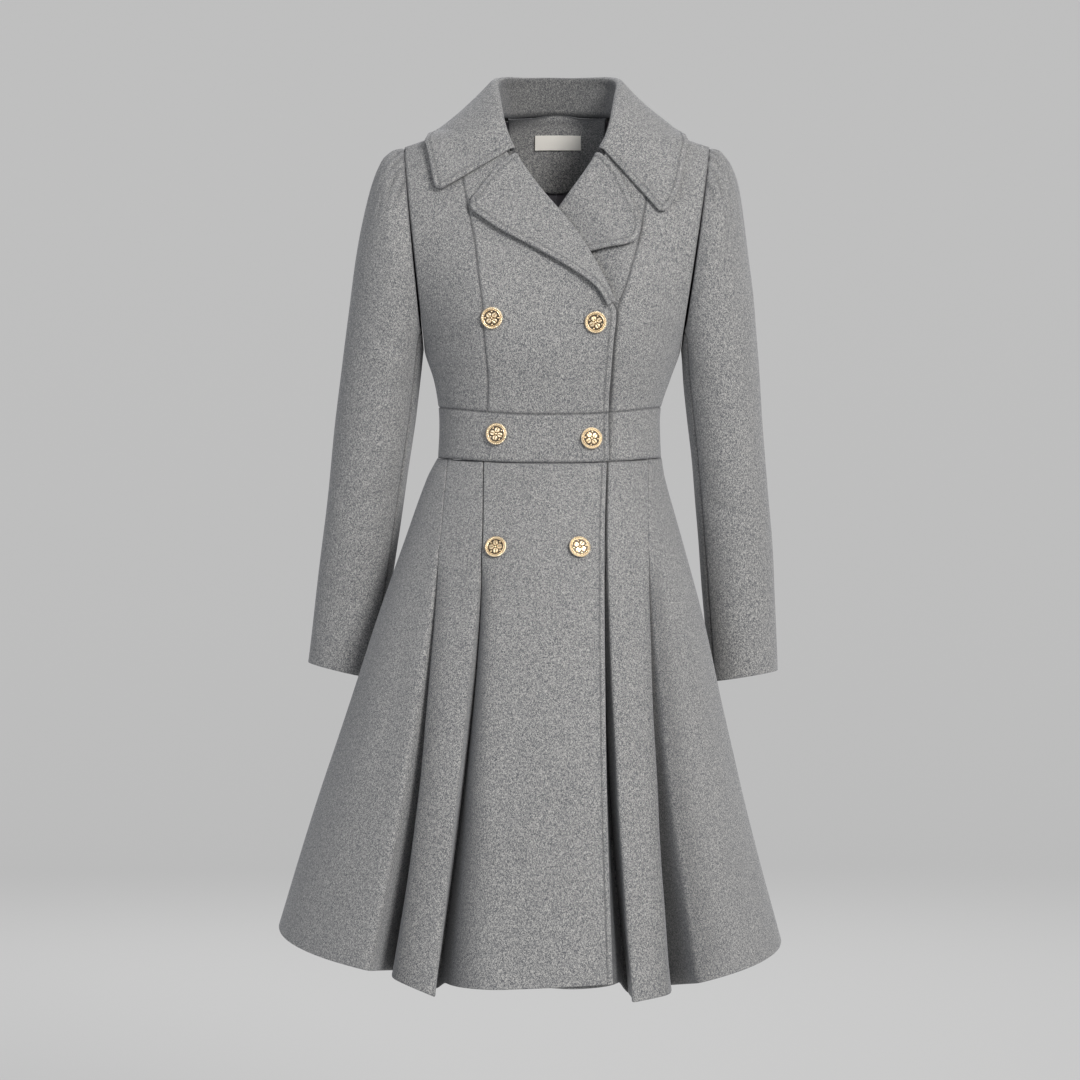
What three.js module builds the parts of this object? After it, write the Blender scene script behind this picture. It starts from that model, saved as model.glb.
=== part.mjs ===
// Flared double-breasted wool coat, filled out as if it were worn, with nobody in it.
// Millimetres, +Z up, -Y is the front of the coat, +X is the viewer's right.
// The origin is between the two side neck points, on the shoulders that hold the coat up.
// "Right" and "left" in the names are the wearer's, so the right front is on the -X side.
import * as THREE from "three";

// Driving dimensions
const CLOTH = 2.4; // thickness of the coating cloth
const FACING = 1.6; // thickness of the neck facing
const LABEL = 0.8; // thickness of the woven label
const SEAM = 0.3; // gap between sewn pieces
const NECK_HALF = 75; // side neck point from the centre
const BACK_NECK_RISE = 8; // back neck seam above the side neck points
const SHOULDER = { x: 176, z: -34 }; // outer end of the shoulder seam
const UNDERARM_Z = -264;
const SIDE_Y = 4; // depth of the shoulder and side seams
const SQUARENESS = 2.2; // power of the body sections, 2 is an ellipse
const WAIST_TOP = -333.5; // upper seam of the waistband at the side
const WAIST_BOTTOM = -391;
const WAIST_DIP_TOP = 11; // how much lower the seams lie at centre front
const WAIST_DIP_BOTTOM = 7.5;
const SKIRT_HEM = -935; // nominal level of the hem
const PLEAT_RELEASE = 0.19; // share of the skirt's length where the pleats stop being sewn down
const PLEAT_TURNING = 1.6; // above 1, so the inside of a pleat turns sideways only further down
const PLEAT_CLOSED = 5; // depth of the turned-in edge where a pleat is sewn shut
const MARGIN_RISE = 2; // above 1, so the centre panel rises steeply beside its pleat
const PLEAT_DEEPENING = 0.8; // below 1, so a pleat is deep soon below its release
const UNDERLAP = 4.2; // how far the left front lies under the right one below the bust
const LAPEL_UNDERLAP = 13; // and above it, where the left lapel lies between them
const LAPEL_LEFT_END = -205; // level below which no lapel lies between the fronts
const UNDERLAP_FADE = 50; // distance over which the left front rises beside the right one's edge
const ROLL = 5.6; // radius of the rolled fold of the collar and lapels
const BUTTON_RADIUS = 12;
const BUTTON_SIDES = 16;
const MITRE_LIMIT = 0.5; // a corner of a wall reaches twice its thickness at most
const FULL = { front: 90, turn: 180, round: 360 };

// Body sections: depth of the front and the back from the side seam, and width below the underarm
const BODY = [
  { z: -400, halfWidth: 129, front: 102, back: 86, centreX: -8.6 },
  { z: -362, halfWidth: 127, front: 101, back: 83, centreX: -8.3 },
  { z: -333, halfWidth: 128, front: 105, back: 85, centreX: -8.3 },
  { z: -301, halfWidth: 136, front: 112, back: 90, centreX: -5.8 },
  { z: -264, halfWidth: 147.8, front: 116, back: 95, centreX: -5.2 },
  { z: -200, halfWidth: 152, front: 109, back: 99, centreX: -3.5 },
  { z: -150, halfWidth: 160, front: 96, back: 98, centreX: -2 },
  { z: -100, halfWidth: 168, front: 80, back: 93, centreX: -1 },
  { z: -60, halfWidth: 172, front: 67, back: 86, centreX: 0 },
  { z: -34, halfWidth: 176, front: 58, back: 78, centreX: 0 },
  { z: -15, halfWidth: 120, front: 51, back: 70, centreX: 0 },
  { z: 0, halfWidth: 75, front: 45, back: 63, centreX: 0 },
  { z: 8, halfWidth: 51, front: 40, back: 57, centreX: 0 },
];
const BUST = { x: 86, z: -222, width: 44, height: 58, fullness: 15 };

// Princess seams: distance from the body's centre line
const PRINCESS = [
  { z: -400, right: 71, left: 66, back: 62 },
  { z: -338, right: 71, left: 66.5, back: 63 },
  { z: -305, right: 73, left: 67, back: 68 },
  { z: -270, right: 76.5, left: 68, back: 76 },
  { z: -225, right: 80.3, left: 72, back: 84 },
  { z: -195, right: 84.5, left: 81.5, back: 89 },
  { z: -149, right: 91.5, left: 93.5, back: 96 },
  { z: -99, right: 102, left: 102, back: 104 },
  { z: -55, right: 111, left: 111, back: 111 },
  { z: -14.4, right: 117.8, left: 117.8, back: 117.8 },
];

// Inner edge of each front: the neckline under the collar, the rolled edge, then the overlap's edge
const FRONT_EDGE = [
  { z: -400, right: 56, left: -66 },
  { z: -320, right: 60.2, left: -68 },
  { z: -264, right: 63, left: -69 },
  { z: -228, right: 65.2, left: -70 },
  { z: -206, right: 52, left: -57 },
  { z: -178, right: 38, left: -37.5 },
  { z: -143, right: 17, left: -14 },
  { z: -109, right: -8.5, left: 10.5 },
  { z: -79, right: -34, left: 32.5 },
  { z: -45, right: -56.5, left: 55 },
  { z: -33, right: -62, left: 61 },
  { z: -14.4, right: -69, left: 69 },
  { z: -2, right: -74, left: 74 },
];

// Armhole and sleeve rings: inner and outer point seen from the front, depth of the centre, half depth
const SLEEVE_LEFT = [
  { innerX: 142.6, innerZ: -264, outerX: 176, outerZ: -34, centreY: 4, halfDepth: 62 },
  { innerX: 142.8, innerZ: -266.5, outerX: 192, outerZ: -43, centreY: 5, halfDepth: 69 },
  { innerX: 143.1, innerZ: -269.5, outerX: 206, outerZ: -71, centreY: 6, halfDepth: 73 },
  { innerX: 143.5, innerZ: -274, outerX: 215, outerZ: -117, centreY: 8, halfDepth: 72 },
  { innerX: 144, innerZ: -281, outerX: 221, outerZ: -163, centreY: 9, halfDepth: 69 },
  { innerX: 144.6, innerZ: -291, outerX: 227, outerZ: -215, centreY: 11, halfDepth: 65 },
  { innerX: 146, innerZ: -308, outerX: 231.5, outerZ: -267, centreY: 14, halfDepth: 61 },
  { innerX: 151, innerZ: -350, outerX: 236, outerZ: -324, centreY: 20, halfDepth: 58 },
  { innerX: 158, innerZ: -416, outerX: 241.5, outerZ: -393, centreY: 29, halfDepth: 55 },
  { innerX: 166, innerZ: -508, outerX: 250, outerZ: -491, centreY: 40, halfDepth: 50 },
  { innerX: 177, innerZ: -650, outerX: 257.5, outerZ: -637, centreY: 54, halfDepth: 46 },
];
const SLEEVE_RIGHT = [
  { innerX: -153, innerZ: -264, outerX: -176, outerZ: -34, centreY: 4, halfDepth: 62 },
  { innerX: -153.4, innerZ: -266.5, outerX: -196, outerZ: -43, centreY: 5, halfDepth: 69 },
  { innerX: -153.9, innerZ: -269.5, outerX: -210.5, outerZ: -71, centreY: 6, halfDepth: 73 },
  { innerX: -154.5, innerZ: -274, outerX: -223, outerZ: -117, centreY: 8, halfDepth: 72 },
  { innerX: -155.2, innerZ: -281, outerX: -232, outerZ: -163, centreY: 9, halfDepth: 69 },
  { innerX: -156.3, innerZ: -291, outerX: -239, outerZ: -215, centreY: 11, halfDepth: 65 },
  { innerX: -158.3, innerZ: -308, outerX: -246, outerZ: -267, centreY: 14, halfDepth: 61 },
  { innerX: -163.5, innerZ: -350, outerX: -253, outerZ: -324, centreY: 20, halfDepth: 58 },
  { innerX: -173.7, innerZ: -416, outerX: -261, outerZ: -393, centreY: 29, halfDepth: 55 },
  { innerX: -187.5, innerZ: -508, outerX: -272.5, outerZ: -491, centreY: 42, halfDepth: 50 },
  { innerX: -210.5, innerZ: -647, outerX: -290, outerZ: -628, centreY: 58, halfDepth: 46 },
];
const CAP_GATHERS = { waves: 7, halfSpread: 50, depth: 2.2, reach: 4 };
const SLEEVE_SEAMS = { front: -150, back: 120 }; // degrees round the sleeve from its outer line

// Skirt sections without the pleats
const SKIRT = [
  { level: -935, halfWidth: 287.5, front: 215, back: 215, centreX: -31, centreY: -18 },
  { level: -807, halfWidth: 250.7, front: 192, back: 186, centreX: -29.3, centreY: -22 },
  { level: -669, halfWidth: 211.6, front: 166, back: 152, centreX: -23, centreY: -24 },
  { level: -577, halfWidth: 187, front: 147, back: 138, centreX: -18.5, centreY: -18 },
  { level: -485, halfWidth: 158.7, front: 128, back: 118, centreX: -15, centreY: -8 },
  { level: -416, halfWidth: 137, front: 110, back: 96, centreX: -12.6, centreY: 1 },
  { level: -392, halfWidth: 129, front: 102, back: 86, centreX: -8.6, centreY: 4 },
];

// Pleat folds from the side to the centre: x at four levels, and the hem's level at each
const LEVELS = [-392, -494, -738, -935];
const PLEATS_RIGHT = [
  { fold: "side", x: [-138, -176, -262, -318], hemZ: -925 },
  { fold: "outerFold", x: [-125.5, -134.5, -169, -206], hemZ: -958 },
  { fold: "middleStart", x: [-124.7, -133.6, -155, -181], hemZ: -966 },
  { fold: "innerFold", x: [-84.5, -86, -110, -132], hemZ: -983 },
  { fold: "centre", x: [-8.6, -15, -25, -31], hemZ: -973 },
  { fold: "edge", x: [56, 52.5, 54, 60], hemZ: -968 },
];
const PLEATS_LEFT = [
  { fold: "side", x: [120, 147, 216, 256.5], hemZ: -942 },
  { fold: "outerFold", x: [105, 104, 126, 155], hemZ: -972 },
  { fold: "middleStart", x: [104.2, 103.2, 113, 124], hemZ: -983 },
  { fold: "innerFold", x: [58.5, 57, 66, 79.5], hemZ: -989 },
  { fold: "centre", x: [-8.6, -15, -25, -31], hemZ: -973 },
  { fold: "edge", x: [-66, -62, -53, -48], hemZ: -968 },
];
const BACK_HEM_Z = { fold: -945, centre: -948 };
const BACK_FOLD = [66, 74, 112, 140]; // distance of the back pleat from the centre at four levels
const SKIRT_CENTRE_X = [-8.6, -15, -25, -31];
const HEM_DEPTH = { outer: 76, middle: 4, inner: 66, centre: 58, back: 46 };

// Collar: the fold, the free edge and the neck seam from the front corner to the centre back
const COLLAR_RIGHT = [
  { foldX: -47.8, foldY: -54.5, foldZ: -41, edgeX: -136, edgeY: -64, edgeZ: -94, sag: 0 },
  { foldX: -54, foldY: -51, foldZ: -26, edgeX: -139, edgeY: -56, edgeZ: -78, sag: 2 },
  { foldX: -60, foldY: -44, foldZ: -6, edgeX: -143.5, edgeY: -41, edgeZ: -54, sag: 4 },
  { foldX: -65, foldY: -22, foldZ: 22, edgeX: -146.5, edgeY: -10, edgeZ: -24, sag: 1 },
  { foldX: -68, foldY: 8, foldZ: 42, edgeX: -139, edgeY: 30, edgeZ: -15, sag: -1 },
  { foldX: -59, foldY: 38, foldZ: 51, edgeX: -106, edgeY: 72, edgeZ: -18, sag: 0 },
  { foldX: -33, foldY: 59, foldZ: 54, edgeX: -57, edgeY: 88, edgeZ: -22, sag: 0 },
  { foldX: 0, foldY: 66, foldZ: 55, edgeX: 0, edgeY: 93, edgeZ: -24, sag: 0 },
];
const COLLAR_LEFT = [
  { foldX: 46.8, foldY: -54.5, foldZ: -41, edgeX: 120, edgeY: -78, edgeZ: -119, sag: 1 },
  { foldX: 54, foldY: -51, foldZ: -26, edgeX: 135, edgeY: -63, edgeZ: -92, sag: 2 },
  { foldX: 60, foldY: -44, foldZ: -6, edgeX: 143, edgeY: -42, edgeZ: -54, sag: 4 },
  ...COLLAR_RIGHT.slice(3, 7).map((row) => ({ ...row, foldX: -row.foldX, edgeX: -row.edgeX })),
];
const COLLAR_CORNER = 12;
const COLLAR_OFF = 4.6; // least height of the collar's outer face above the bodice
// The neck seam under each row of the collar: its direction from centre front, and its level
const NECK_SEAM = [
  { station: 0, around: 14.6, z: -41 },
  { station: 1, around: 18.6, z: -28 },
  { station: 2, around: 30.9, z: -13 },
  { station: 3, around: 61, z: -1 },
  { station: 4, around: 100, z: 3 },
  { station: 5, around: 125, z: 5 },
  { station: 6, around: 152, z: 8 },
  { station: 7, around: 180, z: 10 },
];
const NECK_SEAM_INSIDE = 0.96;
const COLLAR_ROWS = [0, 0.25, 0.5, 1, 1.5, 2, 2.33, 2.67, 3, 3.5, 4, 4.5, 5, 6, 7];
const LEG_SHARES = [0, 0.33, 0.67];
const LEAF_SHARES = [0.14, 0.28, 0.42, 0.56, 0.7, 0.85, 1];
const ROLL_ANGLES = [-90, -30, 30, 90];
const CORNER_NEAR = [0, 0.35]; // rows from a rounded corner, as shares of its radius
const NECK_FACING = { halfWidth: 58, middleZ: -78, sideZ: -46, gap: 1.7 };
const NECK_LABEL = { x: 1.5, z: -18, width: 55, height: 16.5, gap: 1.4 };

// Lapels seen from the front: the roll line and the free edge, from the break up to the collar
const LAPEL_RIGHT = [
  { foldX: 60.5, foldZ: -209, edgeX: 52, edgeZ: -213.5 },
  { foldX: 56, foldZ: -197.5, edgeX: 45.5, edgeZ: -203 },
  { foldX: 36.5, foldZ: -159.5, edgeX: 17, edgeZ: -181.5 },
  { foldX: 7.5, foldZ: -118, edgeX: -28, edgeZ: -155.5 },
  { foldX: -22.5, foldZ: -82, edgeX: -68, edgeZ: -133.5 },
  { foldX: -46.5, foldZ: -47, edgeX: -103, edgeZ: -108 },
];
const LAPEL_LEFT = [
  { foldX: -46, foldZ: -180, edgeX: -37, edgeZ: -187 },
  { foldX: -35, foldZ: -162, edgeX: -13, edgeZ: -182 },
  { foldX: -15, foldZ: -131, edgeX: 15, edgeZ: -166 },
  { foldX: 9, foldZ: -98, edgeX: 52, edgeZ: -157 },
  { foldX: 30, foldZ: -69, edgeX: 86, edgeZ: -149 },
  { foldX: 45, foldZ: -46, edgeX: 96, edgeZ: -128 },
];
const LAPEL_ROWS = 11;
const LAPEL_CORNER = 11;
const NOTCH_AT = 0.32; // share of a lapel's upper edge that is sewn to the collar
const NOTCH_OUT = { right: 4.6, left: 7.5 }; // how far its upper edge turns out there
const LAPEL_INNER = 10.5; // width of the facing inside the rolled edge

const BUTTONS = [
  { name: "button_top_right", x: -73, z: -237, on: "right_front_centre" },
  { name: "button_top_left", x: 42.9, z: -242, on: "right_front_centre" },
  { name: "button_waist_right", x: -67.7, z: -366, on: "waistband_right_front" },
  { name: "button_waist_left", x: 37.7, z: -371, on: "waistband_right_front" },
  { name: "button_skirt_right", x: -68.3, z: -494, on: "right_skirt_centre" },
  { name: "button_skirt_left", x: 23.8, z: -494, on: "right_skirt_centre" },
];
// Half section of a shank button, from its back to the middle of its face
const BUTTON_PROFILE = [
  { radius: 0, height: 0 },
  { radius: 3.2, height: 0 },
  { radius: 3.2, height: 2 },
  { radius: 10.6, height: 2.4 },
  { radius: BUTTON_RADIUS, height: 4 },
  { radius: 11.2, height: 5.6 },
  { radius: 9.2, height: 5 },
  { radius: 0, height: 6 },
];

const material = {
  wool: new THREE.MeshStandardMaterial({ color: 0x8f8f90, roughness: 0.95, metalness: 0 }),
  brass: new THREE.MeshStandardMaterial({ color: 0xd9b878, roughness: 0.35, metalness: 1 }),
  label: new THREE.MeshStandardMaterial({ color: 0xe9e3da, roughness: 0.8, metalness: 0 }),
};
const radians = THREE.MathUtils.degToRad;
const clamp = THREE.MathUtils.clamp;
const lerp = THREE.MathUtils.lerp;
const coat = new THREE.Group();

// Smooth value of one column of a table whose rows rise in the key column
function read(table, key, at, column) {
  const last = table.length - 1;
  const value = clamp(at, table[0][key], table[last][key]);
  let i = 0;
  while (i < last - 1 && value > table[i + 1][key]) i++;
  const slope = (k) => {
    const a = table[Math.max(k - 1, 0)];
    const b = table[Math.min(k + 1, last)];
    return (b[column] - a[column]) / (b[key] - a[key]);
  };
  const span = table[i + 1][key] - table[i][key];
  const t = (value - table[i][key]) / span;
  const rise = table[i + 1][column] - table[i][column];
  return (
    table[i][column] +
    rise * t * t * (3 - 2 * t) +
    span * t * (1 - t) * (slope(i) * (1 - t) - slope(i + 1) * t)
  );
}

// Smooth value of one column at a fractional row number
function readRow(table, row, column) {
  const numbered = table.map((entry, number) => ({ number, value: entry[column] }));
  return read(numbered, "number", row, "value");
}

const smooth = (t) => {
  const c = clamp(t, 0, 1);
  return c * c * (3 - 2 * c);
};
const sideOf = (around) => (Math.sin(radians(around)) < 0 ? "right" : "left");
const sleeveTable = (side) => (side === "right" ? SLEEVE_RIGHT : SLEEVE_LEFT);

// Where the armhole crosses a level
function armhole(side, z) {
  const ring = sleeveTable(side)[0];
  const middle = (ring.innerZ + ring.outerZ) / 2;
  const reach = (ring.outerZ - ring.innerZ) / 2;
  const up = clamp((z - middle) / reach, -1, 1);
  const x = (ring.innerX + ring.outerX) / 2 + (up * (ring.outerX - ring.innerX)) / 2;
  return { x, depth: ring.halfDepth * Math.sqrt(1 - up * up) };
}

// Half width of the body section, wide enough at the armhole to pass through its edge
function halfWidth(side, z, depth) {
  if (z >= SHOULDER.z) return NECK_HALF + (z * (SHOULDER.x - NECK_HALF)) / SHOULDER.z;
  if (z <= UNDERARM_Z) return read(BODY, "z", z, "halfWidth");
  const hole = armhole(side, z);
  const share = (hole.depth / depth) ** SQUARENESS;
  return Math.abs(hole.x - read(BODY, "z", z, "centreX")) / (1 - share) ** (1 / SQUARENESS);
}

function bust(x, z, centreX) {
  const across = (Math.abs(x - centreX) - BUST.x) / BUST.width;
  const up = (z - BUST.z) / BUST.height;
  return BUST.fullness * Math.exp(-across * across - up * up);
}

// A point of the body's outer surface. Around is 0 at centre front, 90 at the left side, 180 at centre back
function bodyPoint(around, z, inset = 0) {
  const angle = radians(around);
  const side = sideOf(around);
  const front = Math.cos(angle) > 0;
  const depth = read(BODY, "z", z, front ? "front" : "back");
  const centreX = read(BODY, "z", z, "centreX");
  const width = halfWidth(side, z, depth);
  const power = 2 / SQUARENESS;
  const across = Math.abs(Math.sin(angle)) ** power;
  const out = Math.abs(Math.cos(angle)) ** power;
  const x = centreX + Math.sign(Math.sin(angle)) * width * across;
  const swell = front ? bust(x, z, centreX) * Math.min(1, 2 * out) * out : 0;
  const y = SIDE_Y + (front ? -1 : 1) * (depth * out + swell - inset);
  return new THREE.Vector3(x, y, z);
}

// Direction round the body of a given distance from its centre line
function aroundAt(x, z, back = false) {
  const depth = read(BODY, "z", z, back ? "back" : "front");
  const fromCentre = x - read(BODY, "z", z, "centreX");
  const width = halfWidth(fromCentre < 0 ? "right" : "left", z, depth);
  const share = clamp(Math.abs(fromCentre) / width, 0, 1) ** (SQUARENESS / 2);
  const angle = THREE.MathUtils.radToDeg(Math.asin(share)) * Math.sign(fromCentre);
  return back ? FULL.turn - angle : angle;
}

// Edge of the body panels at the side: shoulder seam, armhole, then side seam
function sideEdge(side, z, back) {
  const seam = side === "right" ? -FULL.front : FULL.front;
  const closed = z >= SHOULDER.z || z <= UNDERARM_Z;
  if (closed) return back ? FULL.turn - seam : seam;
  return aroundAt(armhole(side, z).x, z, back);
}

function princess(side, z, back) {
  const sign = side === "right" ? -1 : 1;
  const half = read(PRINCESS, "z", z, back ? "back" : side);
  return aroundAt(read(BODY, "z", z, "centreX") + sign * half, z, back);
}

// How deep the left front lies under the right one
function leftInset(x, z) {
  const full = lerp(LAPEL_UNDERLAP, UNDERLAP, smooth((LAPEL_LEFT_END - z) / 40));
  const beyond = x - read(FRONT_EDGE, "z", z, "right");
  return full * smooth(1 - beyond / UNDERLAP_FADE);
}

// Roughly how far a point lies outside the bodice, from the section at its own level
function distanceOut({ x, y, z }) {
  const front = y < SIDE_Y;
  const depth = read(BODY, "z", z, front ? "front" : "back");
  const fromCentre = x - read(BODY, "z", z, "centreX");
  const width = halfWidth(fromCentre < 0 ? "right" : "left", z, depth);
  const swell = front ? bust(x, z, x - fromCentre) : 0;
  const out = Math.max(Math.abs(y - SIDE_Y) - swell, 0) / depth;
  const reach = ((Math.abs(fromCentre) / width) ** SQUARENESS + out ** SQUARENESS) ** (1 / SQUARENESS);
  return (reach - 1) * Math.min(width, depth);
}

// Distance outside the bodice along its outward direction, with that direction
function clearance(point) {
  const step = 0.5;
  const distance = distanceOut(point);
  const slope = ["x", "y", "z"].map((axis) => {
    const moved = point.clone();
    moved[axis] += step;
    return (distanceOut(moved) - distance) / step;
  });
  const gradient = new THREE.Vector3(...slope);
  return { distance: distance / gradient.length(), outward: gradient.normalize() };
}

// A point moved outwards where it would lie closer to the bodice than a gap
function keptOff(point, gap) {
  const moved = point.clone();
  for (let pass = 0; pass < 4; pass++) {
    const { distance, outward } = clearance(moved);
    if (distance < gap) moved.addScaledVector(outward, gap - distance);
  }
  return moved;
}

// The point of the front at a place seen from the front, moved out by a gap square to the cloth
function onFront(x, z, gap) {
  const point = bodyPoint(aroundAt(x, z), z);
  for (let pass = 0; pass < 4; pass++) {
    const { distance, outward } = clearance(point);
    point.y -= (gap - distance) / -outward.y;
  }
  return point;
}

const waistTop = (around) => WAIST_TOP - WAIST_DIP_TOP * Math.max(0, Math.cos(radians(around))) ** 2;
const waistBottom = (around) =>
  WAIST_BOTTOM - WAIST_DIP_BOTTOM * Math.max(0, Math.cos(radians(around))) ** 2;

// Level of a row: the back neck rises, and the rows below the bust follow the waist seam
function rowZ(row, around) {
  const back = Math.cos(radians(around)) < 0;
  if (row > SHOULDER.z && back) {
    return row + BACK_NECK_RISE * Math.cos(radians(around)) ** 2 * (1 - row / SHOULDER.z);
  }
  if (row >= UNDERARM_Z) return row;
  const share = (row - UNDERARM_Z) / (WAIST_TOP - UNDERARM_Z);
  return lerp(UNDERARM_Z, waistTop(around), share);
}

// Outward direction of each point inside a framed grid, and how much a wall's corner spreads there
function outwardAt(grid, i, j) {
  const face = (k, l) => {
    const down = new THREE.Vector3().subVectors(grid[k + 1][l + 1], grid[k][l]);
    const across = new THREE.Vector3().subVectors(grid[k][l + 1], grid[k + 1][l]);
    return down.cross(across).normalize();
  };
  const near = [face(i, j), face(i - 1, j), face(i, j - 1), face(i - 1, j - 1)];
  const whole = near.filter((normal) => normal.lengthSq() > 0.5);
  const normal = whole.reduce((sum, each) => sum.add(each), new THREE.Vector3()).normalize();
  const spread = Math.max(Math.min(...whole.map((each) => each.dot(normal))), MITRE_LIMIT);
  return { normal, spread };
}

// The points inside a framed grid, moved outwards by a distance
function layer(grid, distance) {
  return grid.slice(1, -1).map((line, i) =>
    line.slice(1, -1).map((point, j) => {
      const { normal, spread } = outwardAt(grid, i + 1, j + 1);
      return point.clone().addScaledVector(normal, distance / spread);
    }),
  );
}

// Adds a frame to a grid by carrying its first and last steps on
function framed(grid) {
  const beyond = (from, to) => from.clone().multiplyScalar(2).sub(to);
  const ends = (line) => [beyond(line[0], line[1]), ...line, beyond(line.at(-1), line.at(-2))];
  const wide = grid.map(ends);
  const last = wide.length - 1;
  const top = wide[0].map((point, j) => beyond(point, wide[1][j]));
  const bottom = wide[last].map((point, j) => beyond(point, wide[last - 1][j]));
  return [top, ...wide, bottom];
}

// Wall between a framed grid of outer points and the same points moved in.
// The grid's rows run down, its columns anticlockwise as seen from above
function wall(name, grid, thickness = CLOTH, finish = material.wool) {
  return shell(name, layer(grid, 0), layer(grid, -thickness), finish);
}

// Closed solid between two grids of the same size
function shell(name, outer, inner, finish) {
  const rows = outer.length;
  const columns = outer[0].length;
  const points = [...outer.flat(), ...inner.flat()];
  const outerAt = (i, j) => i * columns + j;
  const innerAt = (i, j) => rows * columns + i * columns + j;
  const triangles = [];
  const quad = (a, b, c, d) => triangles.push(a, b, c, a, c, d);
  for (let i = 0; i < rows - 1; i++) {
    for (let j = 0; j < columns - 1; j++) {
      quad(outerAt(i, j), outerAt(i + 1, j), outerAt(i + 1, j + 1), outerAt(i, j + 1));
      quad(innerAt(i, j), innerAt(i, j + 1), innerAt(i + 1, j + 1), innerAt(i + 1, j));
    }
    const end = columns - 1;
    quad(outerAt(i, 0), innerAt(i, 0), innerAt(i + 1, 0), outerAt(i + 1, 0));
    quad(outerAt(i, end), outerAt(i + 1, end), innerAt(i + 1, end), innerAt(i, end));
  }
  for (let j = 0; j < columns - 1; j++) {
    const end = rows - 1;
    quad(outerAt(0, j), outerAt(0, j + 1), innerAt(0, j + 1), innerAt(0, j));
    quad(outerAt(end, j), innerAt(end, j), innerAt(end, j + 1), outerAt(end, j + 1));
  }
  const geometry = new THREE.BufferGeometry().setFromPoints(points).setIndex(triangles);
  return addMesh(name, geometry, finish);
}

function addMesh(name, geometry, finish) {
  const mesh = new THREE.Mesh(geometry, finish);
  mesh.name = name;
  coat.add(mesh);
  return mesh;
}

// Draws each edge of a framed grid back by half a seam gap, away from its neighbour
function trimmed(grid) {
  const pull = (beyond, edge, inside) => edge.clone().addScaledVector(
    new THREE.Vector3().subVectors(inside, beyond).normalize(), SEAM / 2);
  const ends = (line) => {
    const changed = [...line];
    changed[1] = pull(line[0], line[1], line[2]);
    changed[line.length - 2] = pull(line.at(-1), line.at(-2), line.at(-3));
    return changed;
  };
  const across = grid.map(ends);
  const rows = across.length;
  return across.map((line, i) => {
    if (i === 1) return line.map((point, j) => pull(across[0][j], point, across[2][j]));
    if (i !== rows - 2) return line;
    return line.map((point, j) => pull(across[rows - 1][j], point, across[rows - 3][j]));
  });
}

// Framed points of a piece between two edges, row by row
function pieceGrid(rows, columns, pointAt) {
  const carried = [2 * rows[0] - rows[1], ...rows, 2 * rows.at(-1) - rows.at(-2)];
  const shares = Array.from({ length: columns + 3 }, (_, j) => (j - 1) / columns);
  return carried.map((row) => shares.map((share) => pointAt(row, share)));
}

const BODY_ROWS = [-40, -56, -76, -100, -125, -150, -178, -206, -232, -264, -290, -312, WAIST_TOP];
const CENTRE_ROWS = [-2, -8, -14.4, -15.6, -24, -33, ...BODY_ROWS];
const SIDE_ROWS = [-15.6, -24, -33, ...BODY_ROWS];

function bodyPanel(name, rows, columns, start, end, insetAt = () => 0) {
  const grid = pieceGrid(rows, columns, (row, share) => {
    const around = lerp(start(row), end(row), share);
    const z = rowZ(row, around);
    const flat = bodyPoint(around, z);
    return bodyPoint(around, z, insetAt(flat.x, z));
  });
  bodyWall(name, grid);
}

// Wall of the bodice: neighbours share the outward direction of the body at their seams
function bodyWall(name, grid) {
  const outer = layer(trimmed(grid), 0);
  const inner = outer.map((line) =>
    line.map((point) => point.clone().addScaledVector(clearance(point).outward, -CLOTH)));
  shell(name, outer, inner, material.wool);
}

// Bodice: two fronts with princess seams, and a back in four
function buildBodice() {
  const top = (side, back) => (row) =>
    row > -14.4 ? sideEdge(side, row, back) : princess(side, row, back);
  const edge = (side) => (row) => aroundAt(read(FRONT_EDGE, "z", rowZ(row, 0), side), row);
  bodyPanel("right_front_centre", CENTRE_ROWS, 7, top("right", false), edge("right"));
  bodyPanel("left_front_centre", CENTRE_ROWS, 7, edge("left"), top("left", false), leftInset);
  for (const side of ["right", "left"]) {
    const seam = (back) => (row) => princess(side, row, back);
    const outer = (back) => (row) => sideEdge(side, row, back);
    const ordered = (back, a, b) => ((side === "right") !== back ? [a, b] : [b, a]);
    const inset = side === "left" ? leftInset : undefined;
    bodyPanel(`${side}_front_side`, SIDE_ROWS, 5, ...ordered(false, outer(false), seam(false)), inset);
    bodyPanel(`${side}_back_side`, SIDE_ROWS, 5, ...ordered(true, outer(true), seam(true)));
    const middle = () => FULL.turn;
    bodyPanel(
      `${side}_back_centre`,
      [0, ...CENTRE_ROWS.slice(1)],
      6,
      ...ordered(true, top(side, true), middle),
    );
  }
}

// Waistband: right front over left front, and one back piece
function buildWaistband() {
  const band = (name, columns, start, end, inset) => {
    const grid = pieceGrid([0, 1 / 3, 2 / 3, 1], columns, (share, across) => {
      const around = lerp(start, end, across);
      const z = lerp(waistTop(around), waistBottom(around), share);
      const flat = bodyPoint(around, z);
      return bodyPoint(around, z, inset(flat.x, z));
    });
    bodyWall(name, grid);
  };
  const none = () => 0;
  const middleZ = (WAIST_TOP + WAIST_BOTTOM) / 2;
  const rightEdge = aroundAt(read(FRONT_EDGE, "z", middleZ, "right"), middleZ);
  const leftEdge = aroundAt(read(FRONT_EDGE, "z", middleZ, "left"), middleZ);
  band("waistband_right_front", 13, -FULL.front, rightEdge, none);
  band("waistband_left_front", 13, leftEdge, FULL.front, leftInset);
  band("waistband_back", 16, FULL.front, FULL.turn + FULL.front, none);
}

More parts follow.
